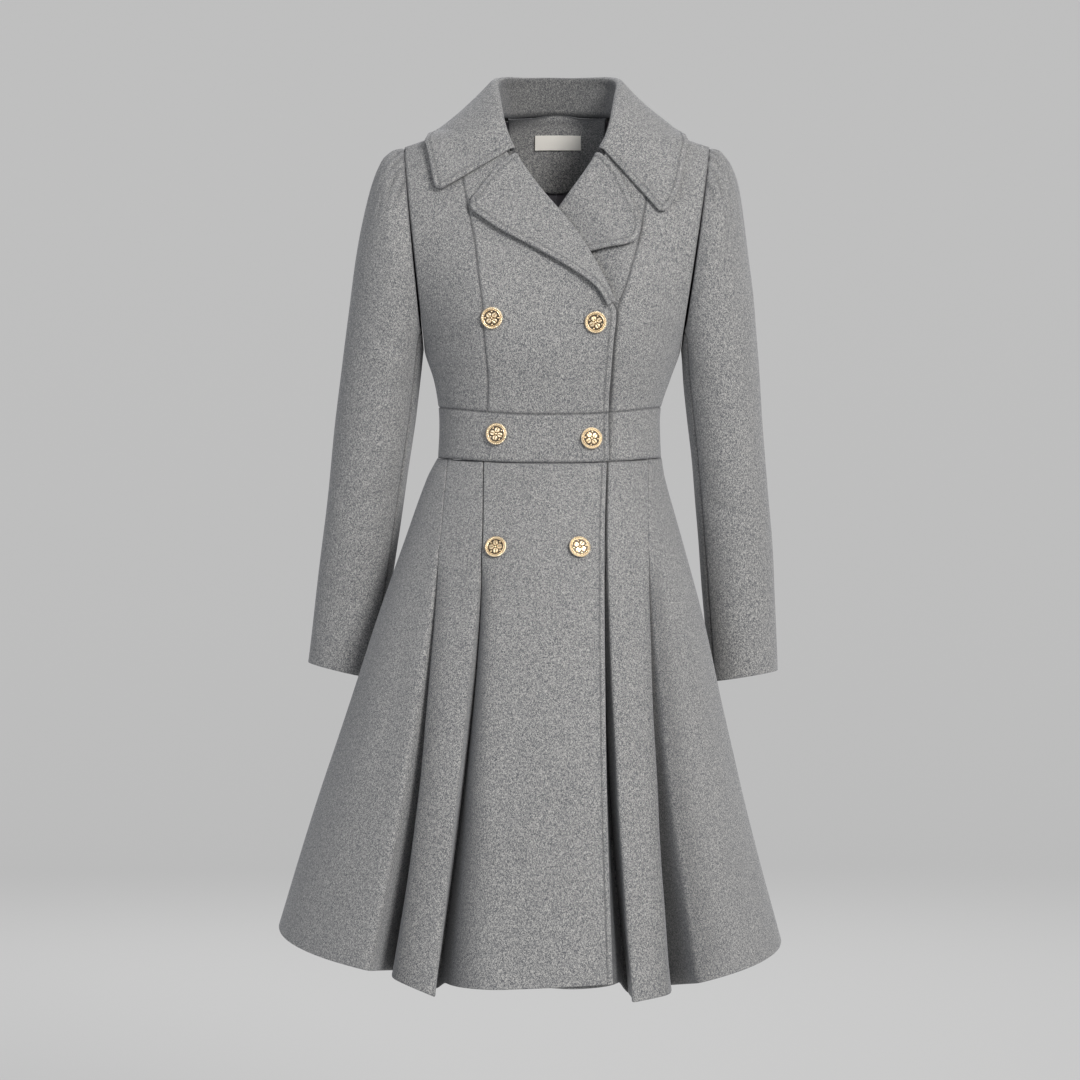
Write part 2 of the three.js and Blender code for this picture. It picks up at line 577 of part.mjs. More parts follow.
// A point of the skirt without pleats
function skirtPoint(around, share, z, inset) {
  const level = lerp(SKIRT[SKIRT.length - 1].level, SKIRT_HEM, share);
  const at = (column) => read(SKIRT, "level", level, column);
  const angle = radians(around);
  const front = Math.cos(angle) > 0;
  const depth = at(front ? "front" : "back");
  const x = at("centreX") + (at("halfWidth") - inset) * Math.sin(angle);
  const y = at("centreY") - (depth - inset) * Math.cos(angle);
  return new THREE.Vector3(x, y, z);
}

// The waistband's lower seam at a direction round the skirt, whose sections are rounder than the body's
function skirtTop(around) {
  const dip = Math.cos(radians(around)) > 0 ? WAIST_DIP_BOTTOM : 0;
  return WAIST_BOTTOM - dip * (1 - Math.abs(Math.sin(radians(around))) ** SQUARENESS);
}

// Direction round the skirt of a fold that is known by its distance from the centre
function skirtAround(x, share, back) {
  const level = lerp(SKIRT[SKIRT.length - 1].level, SKIRT_HEM, share);
  const fromCentre = x - read(SKIRT, "level", level, "centreX");
  const width = read(SKIRT, "level", level, "halfWidth");
  const angle = THREE.MathUtils.radToDeg(Math.asin(clamp(fromCentre / width, -1, 1)));
  return back ? FULL.turn - angle : angle;
}

// The pleat's opening: nothing where it is sewn down, whole at the hem
const opening = (share) => clamp((share - PLEAT_RELEASE) / (1 - PLEAT_RELEASE), 0, 1);

function foldX(fold, share) {
  const level = lerp(LEVELS[0], SKIRT_HEM, share);
  const rows = LEVELS.map((z, i) => ({ z, x: fold.x[i] })).reverse();
  return read(rows, "z", level, "x");
}

// Stations of one half of the skirt's front from the side seam to the front edge
function frontStations(side) {
  const sign = side === "right" ? 1 : -1;
  const table = side === "right" ? PLEATS_RIGHT : PLEATS_LEFT;
  const under = side === "left" ? UNDERLAP : 0;
  const fold = Object.fromEntries(table.map((entry) => [entry.fold, entry]));
  const at = (name, entry, columns, shift = 0, depth = 0, closed = 0) =>
    ({ name, columns, fold: entry, hemZ: entry.hemZ, shift: shift * sign, closed: closed * sign, depth });
  return [
    { ...at("side", fold.side, 5), seam: -FULL.front * sign },
    at("outerFold", fold.outerFold, 2),
    at("outerTrough", fold.middleStart, 2, -52, HEM_DEPTH.outer, -0.4),
    at("middleStart", fold.middleStart, 3, 0, HEM_DEPTH.middle),
    at("innerFold", fold.innerFold, 1),
    { ...at("innerTrough", fold.innerFold, 1, -34, HEM_DEPTH.inner, 0.5), under },
    { ...at("centreStart", fold.innerFold, 3, -18, HEM_DEPTH.centre, 1), hemZ: fold.centre.hemZ, under },
    { ...at("centreFull", fold.innerFold, 4, 66, 0, 16), hemZ: fold.centre.hemZ, under },
    { ...at("edge", fold.edge, 0), under },
  ];
}

// Stations of one half of the back from the side seam to the centre
function backStations(side) {
  const sign = side === "right" ? -1 : 1;
  const fold = { x: BACK_FOLD.map((x, i) => SKIRT_CENTRE_X[i] + sign * x) };
  const at = (name, columns, shift = 0, depth = 0, closed = 0) => ({
    name, columns, fold, shift: shift * sign, closed: closed * sign, depth, hemZ: BACK_HEM_Z.fold, back: true,
  });
  const sideHemZ = (side === "right" ? PLEATS_RIGHT : PLEATS_LEFT)[0].hemZ;
  return [
    { ...at("side", 5), seam: FULL.turn - sign * FULL.front, hemZ: sideHemZ },
    at("outerFold", 1, 13, 0, 0.5),
    at("backTrough", 1, 0, HEM_DEPTH.back),
    at("innerFold", 5, -13, 0, -0.5),
    { ...at("middle", 0), seam: FULL.turn, hemZ: BACK_HEM_Z.centre },
  ];
}

// Angle and depth of a station at a share of the skirt's length
function stationAt(station, share) {
  const open = opening(share);
  const shift = lerp(station.closed, station.shift, open ** PLEAT_TURNING);
  const sewn = station.name.endsWith("Trough") ? PLEAT_CLOSED : 0;
  const around = station.seam ?? skirtAround(foldX(station.fold, share) + shift, share, station.back);
  return { around, depth: lerp(sewn, station.depth, open ** PLEAT_DEEPENING) + (station.under ?? 0) };
}

// The centre panel rises steeply beside the inner fold and levels out towards the middle
function risen(from, to, t) {
  if (from.name === "centreStart" && to.name === "centreFull") return 1 - (1 - t) ** MARGIN_RISE;
  if (from.name === "centreFull" && to.name === "centreStart") return t ** MARGIN_RISE;
  return t;
}

// Points from one station up to the next at a share of the skirt's length
function skirtSpan({ from, to, columns }, share) {
  const start = stationAt(from, share);
  const end = stationAt(to, share);
  return Array.from({ length: columns + 1 }, (_, j) => {
    const t = j / columns;
    const around = lerp(start.around, end.around, t);
    const depth = lerp(start.depth, end.depth, risen(from, to, t));
    const z = lerp(skirtTop(around), lerp(from.hemZ, to.hemZ, t), share);
    return skirtPoint(around, share, z, depth);
  });
}

const SKIRT_SHARES = [0, 0.09, 0.19, 0.3, 0.42, 0.56, 0.7, 0.85, 1];
const SKIRT_PANELS = [
  "left_skirt_centre",
  "left_skirt_middle",
  "left_skirt_side",
  "left_skirt_back_side",
  "left_skirt_back_centre",
  "right_skirt_back_centre",
  "right_skirt_back_side",
  "right_skirt_side",
  "right_skirt_middle",
  "right_skirt_centre",
];

// The whole skirt from the left front's edge round the back to the right front's edge, cut at its seams
function buildSkirt() {
  const spans = (stations) =>
    stations.slice(1).map((to, i) => ({ from: stations[i], to, columns: stations[i].columns }));
  const turned = (list) => list.map(({ from, to, columns }) => ({ from: to, to: from, columns })).reverse();
  const ring = [
    ...turned(spans(frontStations("left"))),
    ...spans(backStations("left")),
    ...turned(spans(backStations("right"))),
    ...spans(frontStations("right")),
  ];
  const line = (share) => {
    const points = ring.flatMap((span) => skirtSpan(span, share).slice(0, -1));
    return [...points, skirtSpan(ring.at(-1), share).at(-1)];
  };
  const rows = [2 * SKIRT_SHARES[0] - SKIRT_SHARES[1], ...SKIRT_SHARES, 1.15];
  const carried = (from, to) => from.clone().multiplyScalar(2).sub(to);
  const grid = rows.map(line).map((points) => [
    carried(points[0], points[1]),
    ...points,
    carried(points.at(-1), points.at(-2)),
  ]);
  const seams = [0];
  let column = 0;
  ring.forEach(({ to, columns }) => {
    column += columns;
    if (/Trough|side|middle$|edge/.test(to.name) && seams.at(-1) !== column) seams.push(column);
  });
  SKIRT_PANELS.forEach((name, i) =>
    wall(name, trimmed(grid.map((points) => points.slice(seams[i], seams[i + 1] + 3)))),
  );
}

// A point of the sleeve: theta is 0 on the outer line, 90 at the back, 180 on the inner line
function sleevePoint(side, theta, row) {
  const table = sleeveTable(side);
  const at = (column) => readRow(table, row, column);
  const angle = radians(theta);
  const share = (1 + Math.cos(angle)) / 2;
  const point = new THREE.Vector3(
    lerp(at("innerX"), at("outerX"), share),
    at("centreY") + at("halfDepth") * Math.sin(angle),
    lerp(at("innerZ"), at("outerZ"), share),
  );
  const gather = CAP_GATHERS;
  const window = smooth((gather.halfSpread - Math.abs(theta)) / 12);
  const fade = Math.sin(Math.PI * clamp(row / gather.reach, 0, 1)) * window;
  const wave = Math.cos((theta / gather.halfSpread) * Math.PI * gather.waves);
  const out = new THREE.Vector3(point.x - (at("innerX") + at("outerX")) / 2, 0, at("outerZ") - at("innerZ"));
  return point.addScaledVector(out.normalize(), gather.depth * fade * wave);
}

const SLEEVE_ROWS = [0, 0.5, 1, 1.5, 2, 3, 4, 5, 6, 7, 8, 9, 10];

function buildSleeves() {
  const steps = (from, to, count) =>
    Array.from({ length: count }, (_, i) => lerp(from, to, i / count));
  const spread = CAP_GATHERS.halfSpread;
  const { front, back } = SLEEVE_SEAMS;
  const upper = [
    ...steps(front, -spread, 5),
    ...steps(-spread, spread, 2 * CAP_GATHERS.waves),
    ...steps(spread, back, 4),
  ];
  const under = steps(back, FULL.round + front, 5);
  const ring = [...upper, ...under];
  const closed = [ring.at(-1) - FULL.round, ...ring, ring[0] + FULL.round, ring[1] + FULL.round];
  const rows = [-0.5, ...SLEEVE_ROWS, 10.5];
  const last = closed.length - 1;
  for (const side of ["right", "left"]) {
    const pieces = [["upper", 0, upper.length + 3], ["under", upper.length, last + 1]];
    for (const [part, from, to] of pieces) {
      const angles = closed.slice(from, to);
      const ordered = side === "left" ? angles : angles.reverse();
      const grid = rows.map((row) => ordered.map((theta) => sleevePoint(side, theta, row)));
      wall(`${side}_sleeve_${part}`, trimmed(grid));
    }
  }
}

// A strip with a rolled fold: the inner leg, the half round of the roll, then the leaf
function rolledStrip(name, stations, corner, nearness) {
  const count = stations.length;
  const grid = stations.map((station, i) => {
    const before = stations[Math.max(i - 1, 0)].fold;
    const after = stations[Math.min(i + 1, count - 1)].fold;
    const along = new THREE.Vector3().subVectors(after, before).normalize();
    const across = new THREE.Vector3().subVectors(station.toward, station.fold);
    across.addScaledVector(along, -across.dot(along)).normalize();
    const out = new THREE.Vector3().crossVectors(along, across).normalize();
    const centre = station.fold.clone().addScaledVector(across, ROLL);
    const rolled = (degrees) => centre.clone()
      .addScaledVector(across, -ROLL * Math.cos(radians(degrees)))
      .addScaledVector(out, ROLL * Math.sin(radians(degrees)));
    const legEnd = station.legEnd ?? rolled(-FULL.front).addScaledVector(across, LAPEL_INNER);
    const leg = LEG_SHARES.map((share) => legEnd.clone().lerp(rolled(-FULL.front), share));
    const start = rolled(FULL.front);
    const cut = 1 - Math.sqrt(1 - (1 - nearness(i)) ** 2);
    const reach = 1 - (corner * cut) / start.distanceTo(station.edge);
    const leaf = LEAF_SHARES.map((share) => station.leaf(start, reach * share, out, along));
    return [...leg, ...ROLL_ANGLES.map(rolled), ...leaf];
  });
  return wall(name, framed(grid));
}

// Lapel leaf: it follows the front it lies on, a little way off
function lapelStations(table, notchOut, insetAt) {
  const off = ROLL - CLOTH / 2;
  const bow = (row) => notchOut * clamp(1 - (LAPEL_ROWS - 1 - row) / 4, 0, 1);
  return Array.from({ length: LAPEL_ROWS }, (_, row) => {
    const entry = (row / (LAPEL_ROWS - 1)) * (table.length - 1);
    const at = (column) => readRow(table, entry, column);
    const over = (x, z, gap) => {
      const point = onFront(x, z, gap);
      point.y += insetAt(x, z);
      return point;
    };
    const fold = over(at("foldX"), at("foldZ"), -CLOTH / 2);
    const edge = over(at("edgeX"), at("edgeZ"), off);
    const toward = over(at("edgeX"), at("edgeZ"), -CLOTH / 2);
    const leaf = (start, share, out, along) => {
      const side = bow(row) * Math.min(share / NOTCH_AT, (1 - share) / (1 - NOTCH_AT)) * Math.sign(along.z);
      const x = lerp(start.x, edge.x, share) + side * along.x;
      const z = lerp(start.z, edge.z, share) + side * along.z;
      return over(x, z, off);
    };
    return { fold, edge, toward, leaf };
  });
}

function buildLapels() {
  const nearTop = (row) => CORNER_NEAR[LAPEL_ROWS - 1 - row] ?? 1;
  const right = lapelStations(LAPEL_RIGHT, NOTCH_OUT.right, () => 0);
  const left = lapelStations(LAPEL_LEFT, NOTCH_OUT.left, leftInset).reverse();
  rolledStrip("right_lapel", right, LAPEL_CORNER, nearTop);
  rolledStrip("left_lapel", left, LAPEL_CORNER, (row) => nearTop(LAPEL_ROWS - 1 - row));
}

// The collar's neck seam, just inside the neckline of the bodice
function neckSeam(row, last) {
  const sign = row > last / 2 ? 1 : -1;
  const station = Math.min(row, last - row);
  const around = sign * read(NECK_SEAM, "station", station, "around");
  const point = bodyPoint(around, read(NECK_SEAM, "station", station, "z"));
  point.x *= NECK_SEAM_INSIDE;
  point.y = lerp(SIDE_Y, point.y, NECK_SEAM_INSIDE);
  return point;
}

// Collar: its stand rises from the neck seam, and the leaf falls over the shoulders
function buildCollar() {
  const table = [...COLLAR_RIGHT, ...[...COLLAR_LEFT].reverse()];
  const last = table.length - 1;
  const half = COLLAR_ROWS.slice(0, -1);
  const rows = [...COLLAR_ROWS, ...half.reverse().map((row) => last - row)];
  const stations = rows.map((row) => {
    const at = (column) => readRow(table, row, column);
    const fold = new THREE.Vector3(at("foldX"), at("foldY"), at("foldZ"));
    const edge = new THREE.Vector3(at("edgeX"), at("edgeY"), at("edgeZ"));
    const leaf = (start, share, out) => {
      const point = start.clone().lerp(edge, share);
      return keptOff(point.addScaledVector(out, 4 * at("sag") * share * (1 - share)), COLLAR_OFF);
    };
    return { fold, edge, toward: edge, legEnd: neckSeam(row, last), leaf };
  });
  const nearFront = (row) => CORNER_NEAR[Math.min(row, rows.length - 1 - row)] ?? 1;
  rolledStrip("collar", stations, COLLAR_CORNER, nearFront);
}

// Facing inside the back neck, and the bare woven label on it
function buildNeckFacing() {
  const onBack = (x, z) => bodyPoint(aroundAt(x, z, true), z);
  const facing = NECK_FACING;
  const facingGrid = pieceGrid([0, 0.25, 0.5, 0.75, 1], 10, (down, across) => {
    const x = lerp(facing.halfWidth, -facing.halfWidth, across);
    const top = rowZ(0, aroundAt(x, 0, true)) - 1;
    const bow = 1 - (x / facing.halfWidth) ** 2;
    return onBack(x, lerp(top, lerp(facing.sideZ, facing.middleZ, bow), down));
  });
  const inside = CLOTH + facing.gap;
  wall("back_neck_facing", framed(layer(facingGrid, -inside)), FACING);
  const labelGrid = pieceGrid([0.5, 0, -0.5], 6, (up, across) =>
    onBack(NECK_LABEL.x + (0.5 - across) * NECK_LABEL.width, NECK_LABEL.z + up * NECK_LABEL.height));
  const behind = inside + FACING + NECK_LABEL.gap;
  wall("neck_label", framed(layer(labelGrid, -behind)), LABEL, material.label);
}

// Shank buttons, each square to the cloth it is sewn on
function buildButtons() {
  const profile = BUTTON_PROFILE.map(({ radius, height }) => new THREE.Vector2(radius, height));
  const lathe = new THREE.LatheGeometry(profile, BUTTON_SIDES);
  const towardsBack = new THREE.Vector3(0, 1, 0);
  for (const { name, x, z, on } of BUTTONS) {
    const ahead = new THREE.Vector3(x, -SKIRT[0].front * 2, z);
    const cloth = coat.getObjectByName(on);
    const [seat] = new THREE.Raycaster(ahead, towardsBack).intersectObject(cloth);
    const mesh = addMesh(name, lathe, material.brass);
    mesh.quaternion.setFromUnitVectors(towardsBack, seat.face.normal);
    mesh.position.copy(seat.point.addScaledVector(seat.face.normal, SEAM));
  }
}

buildBodice();
buildWaistband();
buildSkirt();
buildSleeves();
buildLapels();
buildCollar();
buildNeckFacing();
buildButtons();

export default coat;
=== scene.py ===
"""Flared double-breasted wool coat: cloth, seams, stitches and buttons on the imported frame.

The shape tables are in millimetres, as a pattern maker writes them, and each mesh is made in metres.
Left and right are the wearer's, and the front of the coat looks along -Y.
"""
import math

import bpy
import numpy as np
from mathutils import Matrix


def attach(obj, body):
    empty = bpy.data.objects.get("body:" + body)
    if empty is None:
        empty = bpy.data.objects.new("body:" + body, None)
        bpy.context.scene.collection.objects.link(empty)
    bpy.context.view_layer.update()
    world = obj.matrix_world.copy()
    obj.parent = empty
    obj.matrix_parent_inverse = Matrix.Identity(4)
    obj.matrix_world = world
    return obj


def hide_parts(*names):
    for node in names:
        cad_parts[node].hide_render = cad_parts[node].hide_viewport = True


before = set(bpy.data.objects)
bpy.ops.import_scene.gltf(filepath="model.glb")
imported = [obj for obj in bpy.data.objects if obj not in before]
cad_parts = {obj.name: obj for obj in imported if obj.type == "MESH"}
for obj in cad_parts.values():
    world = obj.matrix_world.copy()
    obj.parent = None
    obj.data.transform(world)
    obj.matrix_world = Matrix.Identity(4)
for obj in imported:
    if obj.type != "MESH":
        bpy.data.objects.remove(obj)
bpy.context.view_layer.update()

bl_info = {
    "name": "Flared Coat",
    "version": (1, 0, 0),
    "blender": (4, 5, 0),
    "location": "View3D > Sidebar > Coat",
    "description": "Cloth, seams, stitches and buttons of a flared double-breasted coat",
    "category": "Object",
}

MM = 0.001
CAMERA = {"x": -0.01955, "y": -4.0, "z": -0.4853, "view_width": 1.242}

# Thickness of the cloths, and the gap at a seam, closer than in the solids so that no light shows through
CLOTH = 2.4
FACING = 1.6
LABEL = 0.8
SEAM = 0.04

# Shape of the coat
NECK_HALF = 75
BACK_NECK_RISE = 8
SHOULDER_X = 176
SHOULDER_Z = -34
UNDERARM_Z = -264
SIDE_Y = 4
SQUARENESS = 2.2
WAIST_TOP = -333.5
WAIST_BOTTOM = -391
WAIST_DIP_TOP = 11
WAIST_DIP_BOTTOM = 7.5
SKIRT_TOP = -392
SKIRT_HEM = -935
PLEAT_RELEASE = 0.19
PLEAT_CLOSED = 5
MARGIN_RISE = 2
PLEAT_TURNING = 1.6
PLEAT_DEEPENING = 0.8
UNDERLAP = 4.2
LAPEL_UNDERLAP = 13
LAPEL_LEFT_END = -205
UNDERLAP_FADE = 50
ROLL = 5.6
SIGN = {"right": -1, "left": 1}


def table(columns, *rows):
    """Numbers by row, kept as one array for each named column."""
    return dict(zip(columns.split(), np.array(rows, float).T))


BODY = table(
    "z half_width front back centre_x",
    (-400, 129, 102, 86, -8.6),
    (-362, 127, 101, 83, -8.3),
    (-333, 128, 105, 85, -8.3),
    (-301, 136, 112, 90, -5.8),
    (-264, 147.8, 116, 95, -5.2),
    (-200, 152, 109, 99, -3.5),
    (-150, 160, 96, 98, -2),
    (-100, 168, 80, 93, -1),
    (-60, 172, 67, 86, 0),
    (-34, 176, 58, 78, 0),
    (-15, 120, 51, 70, 0),
    (0, 75, 45, 63, 0),
    (8, 51, 40, 57, 0),
)
BUST = {"x": 86, "z": -222, "width": 44, "height": 58, "fullness": 15}
PRINCESS = table(
    "z right left back",
    (-400, 71, 66, 62),
    (-338, 71, 66.5, 63),
    (-305, 73, 67, 68),
    (-270, 76.5, 68, 76),
    (-225, 80.3, 72, 84),
    (-195, 84.5, 81.5, 89),
    (-149, 91.5, 93.5, 96),
    (-99, 102, 102, 104),
    (-55, 111, 111, 111),
    (-14.4, 117.8, 117.8, 117.8),
)
FRONT_EDGE = table(
    "z right left",
    (-400, 56, -66),
    (-320, 60.2, -68),
    (-264, 63, -69),
    (-228, 65.2, -70),
    (-206, 52, -57),
    (-178, 38, -37.5),
    (-143, 17, -14),
    (-109, -8.5, 10.5),
    (-79, -34, 32.5),
    (-45, -56.5, 55),
    (-33, -62, 61),
    (-14.4, -69, 69),
    (-2, -74, 74),
)
SLEEVE = {
    "left": table(
        "inner_x inner_z outer_x outer_z centre_y half_depth",
        (142.6, -264, 176, -34, 4, 62),
        (142.8, -266.5, 192, -43, 5, 69),
        (143.1, -269.5, 206, -71, 6, 73),
        (143.5, -274, 215, -117, 8, 72),
        (144, -281, 221, -163, 9, 69),
        (144.6, -291, 227, -215, 11, 65),
        (146, -308, 231.5, -267, 14, 61),
        (151, -350, 236, -324, 20, 58),
        (158, -416, 241.5, -393, 29, 55),
        (166, -508, 250, -491, 40, 50),
        (177, -650, 257.5, -637, 54, 46),
    ),
    "right": table(
        "inner_x inner_z outer_x outer_z centre_y half_depth",
        (-153, -264, -176, -34, 4, 62),
        (-153.4, -266.5, -196, -43, 5, 69),
        (-153.9, -269.5, -210.5, -71, 6, 73),
        (-154.5, -274, -223, -117, 8, 72),
        (-155.2, -281, -232, -163, 9, 69),
        (-156.3, -291, -239, -215, 11, 65),
        (-158.3, -308, -246, -267, 14, 61),
        (-163.5, -350, -253, -324, 20, 58),
        (-173.7, -416, -261, -393, 29, 55),
        (-187.5, -508, -272.5, -491, 42, 50),
        (-210.5, -647, -290, -628, 58, 46),
    ),
}
CAP_GATHERS = {"waves": 7, "half_spread": 50, "depth": 2.2, "reach": 4}
SLEEVE_SEAMS = {"front": -150, "back": 120}
SKIRT = table(
    "level half_width front back centre_x centre_y",
    (-935, 287.5, 215, 215, -31, -18),
    (-807, 250.7, 192, 186, -29.3, -22),
    (-669, 211.6, 166, 152, -23, -24),
    (-577, 187, 147, 138, -18.5, -18),
    (-485, 158.7, 128, 118, -15, -8),
    (-416, 137, 110, 96, -12.6, 1),
    (-392, 129, 102, 86, -8.6, 4),
)
LEVELS = (-392, -494, -738, -935)
PLEATS = {
    "right": {
        "side": {"x": (-138, -176, -262, -318), "hem": -925},
        "outer": {"x": (-125.5, -134.5, -169, -206), "hem": -958},
        "middle": {"x": (-124.7, -133.6, -155, -181), "hem": -966},
        "inner": {"x": (-84.5, -86, -110, -132), "hem": -983},
        "centre": {"x": (-8.6, -15, -25, -31), "hem": -973},
        "edge": {"x": (56, 52.5, 54, 60), "hem": -968},
    },
    "left": {
        "side": {"x": (120, 147, 216, 256.5), "hem": -942},
        "outer": {"x": (105, 104, 126, 155), "hem": -972},
        "middle": {"x": (104.2, 103.2, 113, 124), "hem": -983},
        "inner": {"x": (58.5, 57, 66, 79.5), "hem": -989},
        "centre": {"x": (-8.6, -15, -25, -31), "hem": -973},
        "edge": {"x": (-66, -62, -53, -48), "hem": -968},
    },
}
BACK_HEM = {"fold": -945, "centre": -948}
BACK_FOLD = (66, 74, 112, 140)
SKIRT_CENTRE_X = (-8.6, -15, -25, -31)
HEM_DEPTH = {"outer": 76, "middle": 4, "inner": 66, "centre": 58, "back": 46}
COLLAR_COLUMNS = "fold_x fold_y fold_z edge_x edge_y edge_z sag"
COLLAR_RIGHT = (
    (-47.8, -54.5, -41, -136, -64, -94, 0),
    (-54, -51, -26, -139, -56, -78, 2),
    (-60, -44, -6, -143.5, -41, -54, 4),
    (-65, -22, 22, -146.5, -10, -24, 1),
    (-68, 8, 42, -139, 30, -15, -1),
    (-59, 38, 51, -106, 72, -18, 0),
    (-33, 59, 54, -57, 88, -22, 0),
    (0, 66, 55, 0, 93, -24, 0),
)
COLLAR_LEFT = (
    (46.8, -54.5, -41, 120, -78, -119, 1),
    (54, -51, -26, 135, -63, -92, 2),
    (60, -44, -6, 143, -42, -54, 4),
    (65, -22, 22, 146.5, -10, -24, 1),
    (68, 8, 42, 139, 30, -15, -1),
    (59, 38, 51, 106, 72, -18, 0),
    (33, 59, 54, 57, 88, -22, 0),
)
COLLAR = table(COLLAR_COLUMNS, *COLLAR_RIGHT, *COLLAR_LEFT[::-1])
COLLAR_CORNER = 12
STAND_COLUMNS = 11
COLLAR_OFF = 4.6
NECK_SEAM = table(
    "station around z",
    (0, 14.6, -41),
    (1, 18.6, -28),
    (2, 30.9, -13),
    (3, 61, -1),
    (4, 100, 3),
    (5, 125, 5),
    (6, 152, 8),
    (7, 180, 10),
)
NECK_SEAM_INSIDE = 0.96
NECK_FACING = {"half_width": 58, "middle_z": -78, "side_z": -46, "gap": 1.7}
NECK_LABEL = {"x": 1.5, "z": -18, "width": 55, "height": 16.5, "gap": 1.4}
LAPEL = {
    "right": table(
        "fold_x fold_z edge_x edge_z",
        (64, -219, 57.5, -223),
        (56, -197.5, 45.5, -203),
        (36.5, -159.5, 17, -181.5),
        (7.5, -118, -28, -155.5),
        (-22.5, -82, -68, -133.5),
        (-46.5, -47, -103, -108),
    ),
    "left": table(
        "fold_x fold_z edge_x edge_z",
        (-46, -180, -37, -187),
        (-35, -162, -13, -182),
        (-15, -131, 15, -166),
        (9, -98, 52, -157),
        (30, -69, 86, -149),
        (45, -46, 96, -128),
    ),
}
LAPEL_CORNER = 11
LEAF_LIFT = {"collar": 5, "lapel": 4}
END_ROLL = 3.9
NOTCH_AT = 0.32
NOTCH_OUT = {"right": 4.6, "left": 7.5}
LAPEL_INNER = 10.5
FIELD_RADIUS = 8.8
BUTTONHOLES = (
    ("right_front_centre", 30.5, -241.5, 9),
    ("waistband_right_front", 25.3, -371, 5),
    ("right_skirt_centre", 11.5, -494, 4),
)
# Buttons with their turn in radians, and the profile of a button's rim and back: radius and height
BUTTONS = {
    "top_right": 0,
    "top_left": 0.3,
    "waist_right": -0.5,
    "waist_left": 0.1,
    "skirt_right": 0.7,
    "skirt_left": -0.2,
}
BUTTON_EDGE = (
    (12.0, 4.3), (12.05, 3.8), (11.9, 3.2), (11.2, 2.7), (10.0, 2.4), (3.4, 2.1), (3.2, 1.8), (3.1, 0.2))
ROPE_TURNS = 32
SKIRT_PARTS = ("centre", "middle", "side", "back_side", "back_centre")

# The order in which the edges of the pieces are shaped, and how far from a free edge the lining starts
BODICE_EDGES = "start end top bottom"
WAIST_EDGES = "top bottom start end"
HEMMED_EDGES = "top start end bottom"
ROLLED_EDGES = "top bottom end start"
LINING_FROM = {"front": 60, "waistband": 40, "skirt": 42, "sleeve": 36}

# Fineness of the cloth meshes, how seams and folded edges are shaped, and where painted shade darkens the
# cloth
CELL = 4.2
NEAR_EDGE = (0, 0.25, 0.7, 1.3, 2.1, 3.3, 4.8, 5.7, 6.5, 7.3, 8.2, 10.5)
SEAM_ROLL = {"depth": 1.5, "width": 1.8}
WELT = {"swell": 1.1, "stitch_at": 6.5, "groove": 0.9, "groove_width": 0.8}
# Painted shade by kind of place, as the share by which the wool is darkened: seams, stitch lines, free
# edges, beside the right front's edge, hidden edges, gather troughs
PAINTED_SHADE_SHARES = {"seam": 0.55, "stitch": 0.4, "edge": 0.3, "under": 0.75, "hidden": 0.9, "gather": 0.5}
PLEAT_SHADE = {
    "right_skirt_middle": ("right", "middle", 24, 0.5),
    "right_skirt_centre": ("right", "inner", 32, 0.6),
    "left_skirt_centre": ("left", "inner", 14, 0.4),
    "left_skirt_middle": ("left", "middle", 14, 0.3),
    "left_skirt_side": ("left", "outer", 22, 0.35),
}
SKIRT_ROUNDING = 5
REFINED_COLUMNS = (
    0, 0.04, 0.12, 0.25, 0.4, 0.6, 0.85, 1.05, 1.2, 1.32, 1.42, 1.52, 1.62, 1.74, 1.9, 2.1, 2.4, 2.7, 3)
GATHER = {"spread": 70, "turn": 13, "depth": 2.6, "reach": 26, "lean": 0.7}

# Buttonhole and label stitches in metres: pitch, length and thickness
HOLE_STITCH = (0.0009, 0.00085, 0.0011)
LABEL_STITCH = (0.0016, 0.0011, 0.0004)

# Wools: their dark, middle and light fibres as a colour of the coat's look and a share of it
WOOLS = {
    "Grey Melton Wool": (("wool_dark", 1), ("wool_middle", 1), ("wool_light", 1)),
    # The undercollar at half brightness: a darker cloth, with painted shade inside the neck
    "Undercollar Wool": (("wool_dark", 0.5), ("wool_middle", 0.5), ("wool_light", 0.5)),
    "Grey Thread": (("wool_dark", 0.8), ("wool_middle", 0.85), ("wool_middle", 1)),
    "Buttonhole Thread": (("wool_dark", 0.35), ("wool_dark", 0.6), ("wool_dark", 1)),
    "Cream Thread": (("label", 0.56), ("label", 0.7), ("label", 1)),
}
WOOL_FIBRES = {"fleck": 0.00095, "relief": 0.0007}
THREAD_FIBRES = {"fleck": 0.0005, "relief": 0.0001}
WEAVES = {
    "Grey Lining": {"shade": "lining", "scale": 420, "distortion": 0.6, "direction": "DIAGONAL",
                    "low": (0.2, 0.85), "high": 0.8, "roughness": 0.45, "relief": 0.00008},
    "Woven Label": {"shade": "label", "scale": 900, "distortion": 0.4, "direction": "Z",
                    "low": (0.1, 0.86), "high": 0.7, "roughness": 0.7, "relief": 0.00012},
}

# Studio in metres: the lamps' place, size, share of the key lamp's power and tint, and the dish
LAMPS = {
    "key": ((1.9, -3.6, 1.3), 1.3, 1, (1.0, 0.985, 0.96)),
    "fill": ((-2.4, -3.6, 0.2), 2.2, 0.16, (0.84, 0.9, 1.0)),
    "top": ((0.1, -0.6, 2.3), 1.6, 0.04, (1.0, 1.0, 1.0)),
    "back": ((-0.3, 3.4, 1.6), 2.6, 0.34, (1.0, 1.0, 1.0)),
}
LAMPS_AIM = (0, 0, -0.45)
DISH = {"floor_radius": 5.2, "bend": 2.0, "floor": -1.35, "top": 7.0, "turns": 96}

